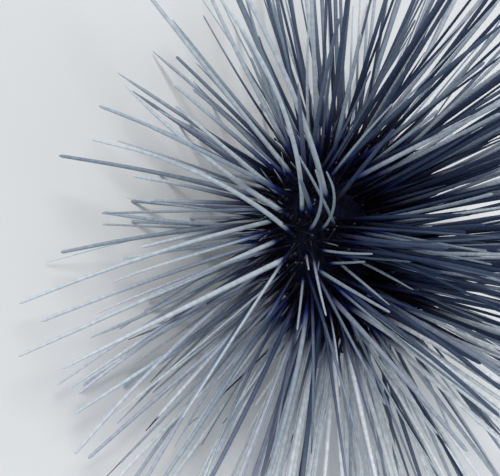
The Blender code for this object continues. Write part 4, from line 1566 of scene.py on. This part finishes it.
def make_teeth(material):
    """The tips of the five teeth: curved, keeled wedges that meet at chisel edges."""
    level, side = grid(TOOTH_LEVELS, TOOTH_SIDES)
    share = level / (TOOTH_LEVELS - 1)
    turn = math.tau * side / TOOTH_SIDES
    heights = blend(PROFILE[-1][1] + TOOTH_ROOT_RISE, TOOTH_TIP_HEIGHT, share)
    thickness = (TOOTH_RADIUS - TOOTH_TIP_RADIUS) * (1 - share**TOOTH_CURVE) + TOOTH_SWELL
    across = rounded(np.sin(turn), TOOTH_SIDE_POWER)
    out = rounded(np.cos(turn), TOOTH_FACE_POWER)
    groove = np.where(out > 0, TOOTH_GROOVE * np.exp(-((across / TOOTH_GROOVE_WIDTH) ** 2)), 0.0)
    radii = TOOTH_TIP_RADIUS * TOOTH_FRONT + thickness * (0.5 + out * TOOTH_THICKNESS) - groove
    turns = across * blend(*TOOTH_KEEL, out) * SECTOR_ANGLE / 2 * blend(*TOOTH_WIDTHS, share)
    sides = turned_over(ring_faces(TOOTH_LEVELS, TOOTH_SIDES)[0])
    root = np.arange(TOOTH_SIDES)[None, :]
    tip = root[:, ::-1] + (TOOTH_LEVELS - 1) * TOOTH_SIDES
    for number, middle in enumerate(SECTOR_MIDDLES, 1):
        corners = columns(radii * np.cos(middle + turns), radii * np.sin(middle + turns), heights)
        piece = new_piece(f"tooth_{number}_tip", corners, (sides, root, tip), material, {})
        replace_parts(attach(piece, "root"), f"tooth_{number}")


def tooth_material():
    """Ivory-white calcite with fine growth lines across it."""
    softness = {"Subsurface Weight": 0.15, "Subsurface Scale": 0.0008}
    gloss = {"Roughness": 0.32, "Coat Weight": 0.25}
    material, tree, shader = new_material("tooth_calcite", {**softness, **gloss})
    place = make_node(tree, "ShaderNodeTexCoord").outputs["Object"]
    inputs = {"Vector": place, "Scale": 900.0, "Distortion": 1.5}
    lines = make_node(tree, "ShaderNodeTexWave", inputs, bands_direction="Z").outputs["Fac"]
    cloud = noise(tree, 500.0, 3.0, {"Vector": place})
    colour = mixed(tree, cloud, (0.72, 0.66, 0.54), (0.86, 0.84, 0.78))
    colour = mixed(tree, maths(tree, "MULTIPLY", lines, 0.25), colour, (0.55, 0.47, 0.36))
    plug(tree, shader, {"Base Color": colour, "Normal": bump(tree, lines, 0.2, 0.00005)})
    return material


def add_camera():
    """The camera at the photograph's view of the front, rolled, with the test where the photograph has it."""
    back = Vector(FRONT)
    across = Vector((1.0, 0.0, 0.0))
    up = back.cross(across)
    picture_right = across * math.cos(VIEW_ROLL) + up * math.sin(VIEW_ROLL)
    picture_up = up * math.cos(VIEW_ROLL) - across * math.sin(VIEW_ROLL)
    straight = Matrix((picture_right, picture_up, back)).transposed()
    to_right, to_bottom = TARGET_PIXEL[0] - PHOTO_WIDTH / 2, TARGET_PIXEL[1] - PHOTO_HEIGHT / 2
    off_centre = Vector((to_right / FOCAL_PIXELS, -to_bottom / FOCAL_PIXELS, -1.0))
    turn = off_centre.rotation_difference(Vector((0.0, 0.0, -1.0))).to_matrix()
    data = bpy.data.cameras.new("camera")
    data.sensor_fit = "HORIZONTAL"
    data.sensor_width = SENSOR_WIDTH
    data.lens = FOCAL_PIXELS * SENSOR_WIDTH / PHOTO_WIDTH
    data.clip_start = NEAREST_SEEN
    camera = bpy.data.objects.new("camera", data)
    target = Vector((AXIS_PLACE[0], AXIS_PLACE[1], TARGET_HEIGHT))
    camera.matrix_world = Matrix.Translation(target + back * VIEW_DISTANCE) @ (straight @ turn).to_4x4()
    bpy.context.scene.collection.objects.link(camera)
    bpy.context.scene.camera = camera


def add_light(name, place, strength, width, colour):
    """A broad soft light from far off, as wide as an angle, that shines from a place towards the test."""
    data = bpy.data.lights.new(name, "SUN")
    data.energy = strength
    data.angle = math.radians(width)
    data.color = colour
    light = bpy.data.objects.new(name, data)
    target = Vector((AXIS_PLACE[0], AXIS_PLACE[1], TARGET_HEIGHT))
    light.location = place
    light.rotation_euler = (target - Vector(place)).to_track_quat("-Z", "Y").to_euler()
    bpy.context.scene.collection.objects.link(light)


def add_surround():
    """A plain surround, as pale as the floor at the horizon and dimmer above."""
    world = bpy.data.worlds.new("surround")
    world.use_nodes = True
    tree = world.node_tree
    direction = make_node(tree, "ShaderNodeTexCoord").outputs["Generated"]
    sine = make_node(tree, "ShaderNodeSeparateXYZ", {"Vector": direction}).outputs["Z"]
    strength = between(tree, sine, *HORIZON_SINES, *SURROUND_STRENGTHS)
    plug(tree, tree.nodes["Background"], {"Color": SURROUND_COLOUR, "Strength": strength})
    bpy.context.scene.world = world


def add_studio():
    """A plain pale floor, soft lights and a pale surround."""
    bpy.ops.mesh.primitive_plane_add(size=FLOOR_SIZE, location=(0.0, 0.0, 0.0))
    floor = bpy.context.object
    floor.name = "floor"
    material, _, _ = new_material("floor", {"Roughness": 0.85, "Base Color": FLOOR_COLOUR})
    floor.data.materials.append(material)
    for name, light in LIGHTS.items():
        add_light(name, *light)
    add_surround()
    bpy.context.scene.view_settings.view_transform = "Standard"


def main():
    add_camera()
    add_studio()
    shafts, thicket = make_spines(spine_material())
    make_skin(skin_material(), shafts)
    make_apical_plates(plate_material())
    make_teeth(tooth_material())
    soft = growth_material()
    draw = random.Random(GROWTH_SEED)
    make_tube_feet(soft, thicket, draw)
    make_pedicellariae(soft, thicket, draw)
    make_mouth_growths(soft, draw)


main()
bpy.context.view_layer.update()
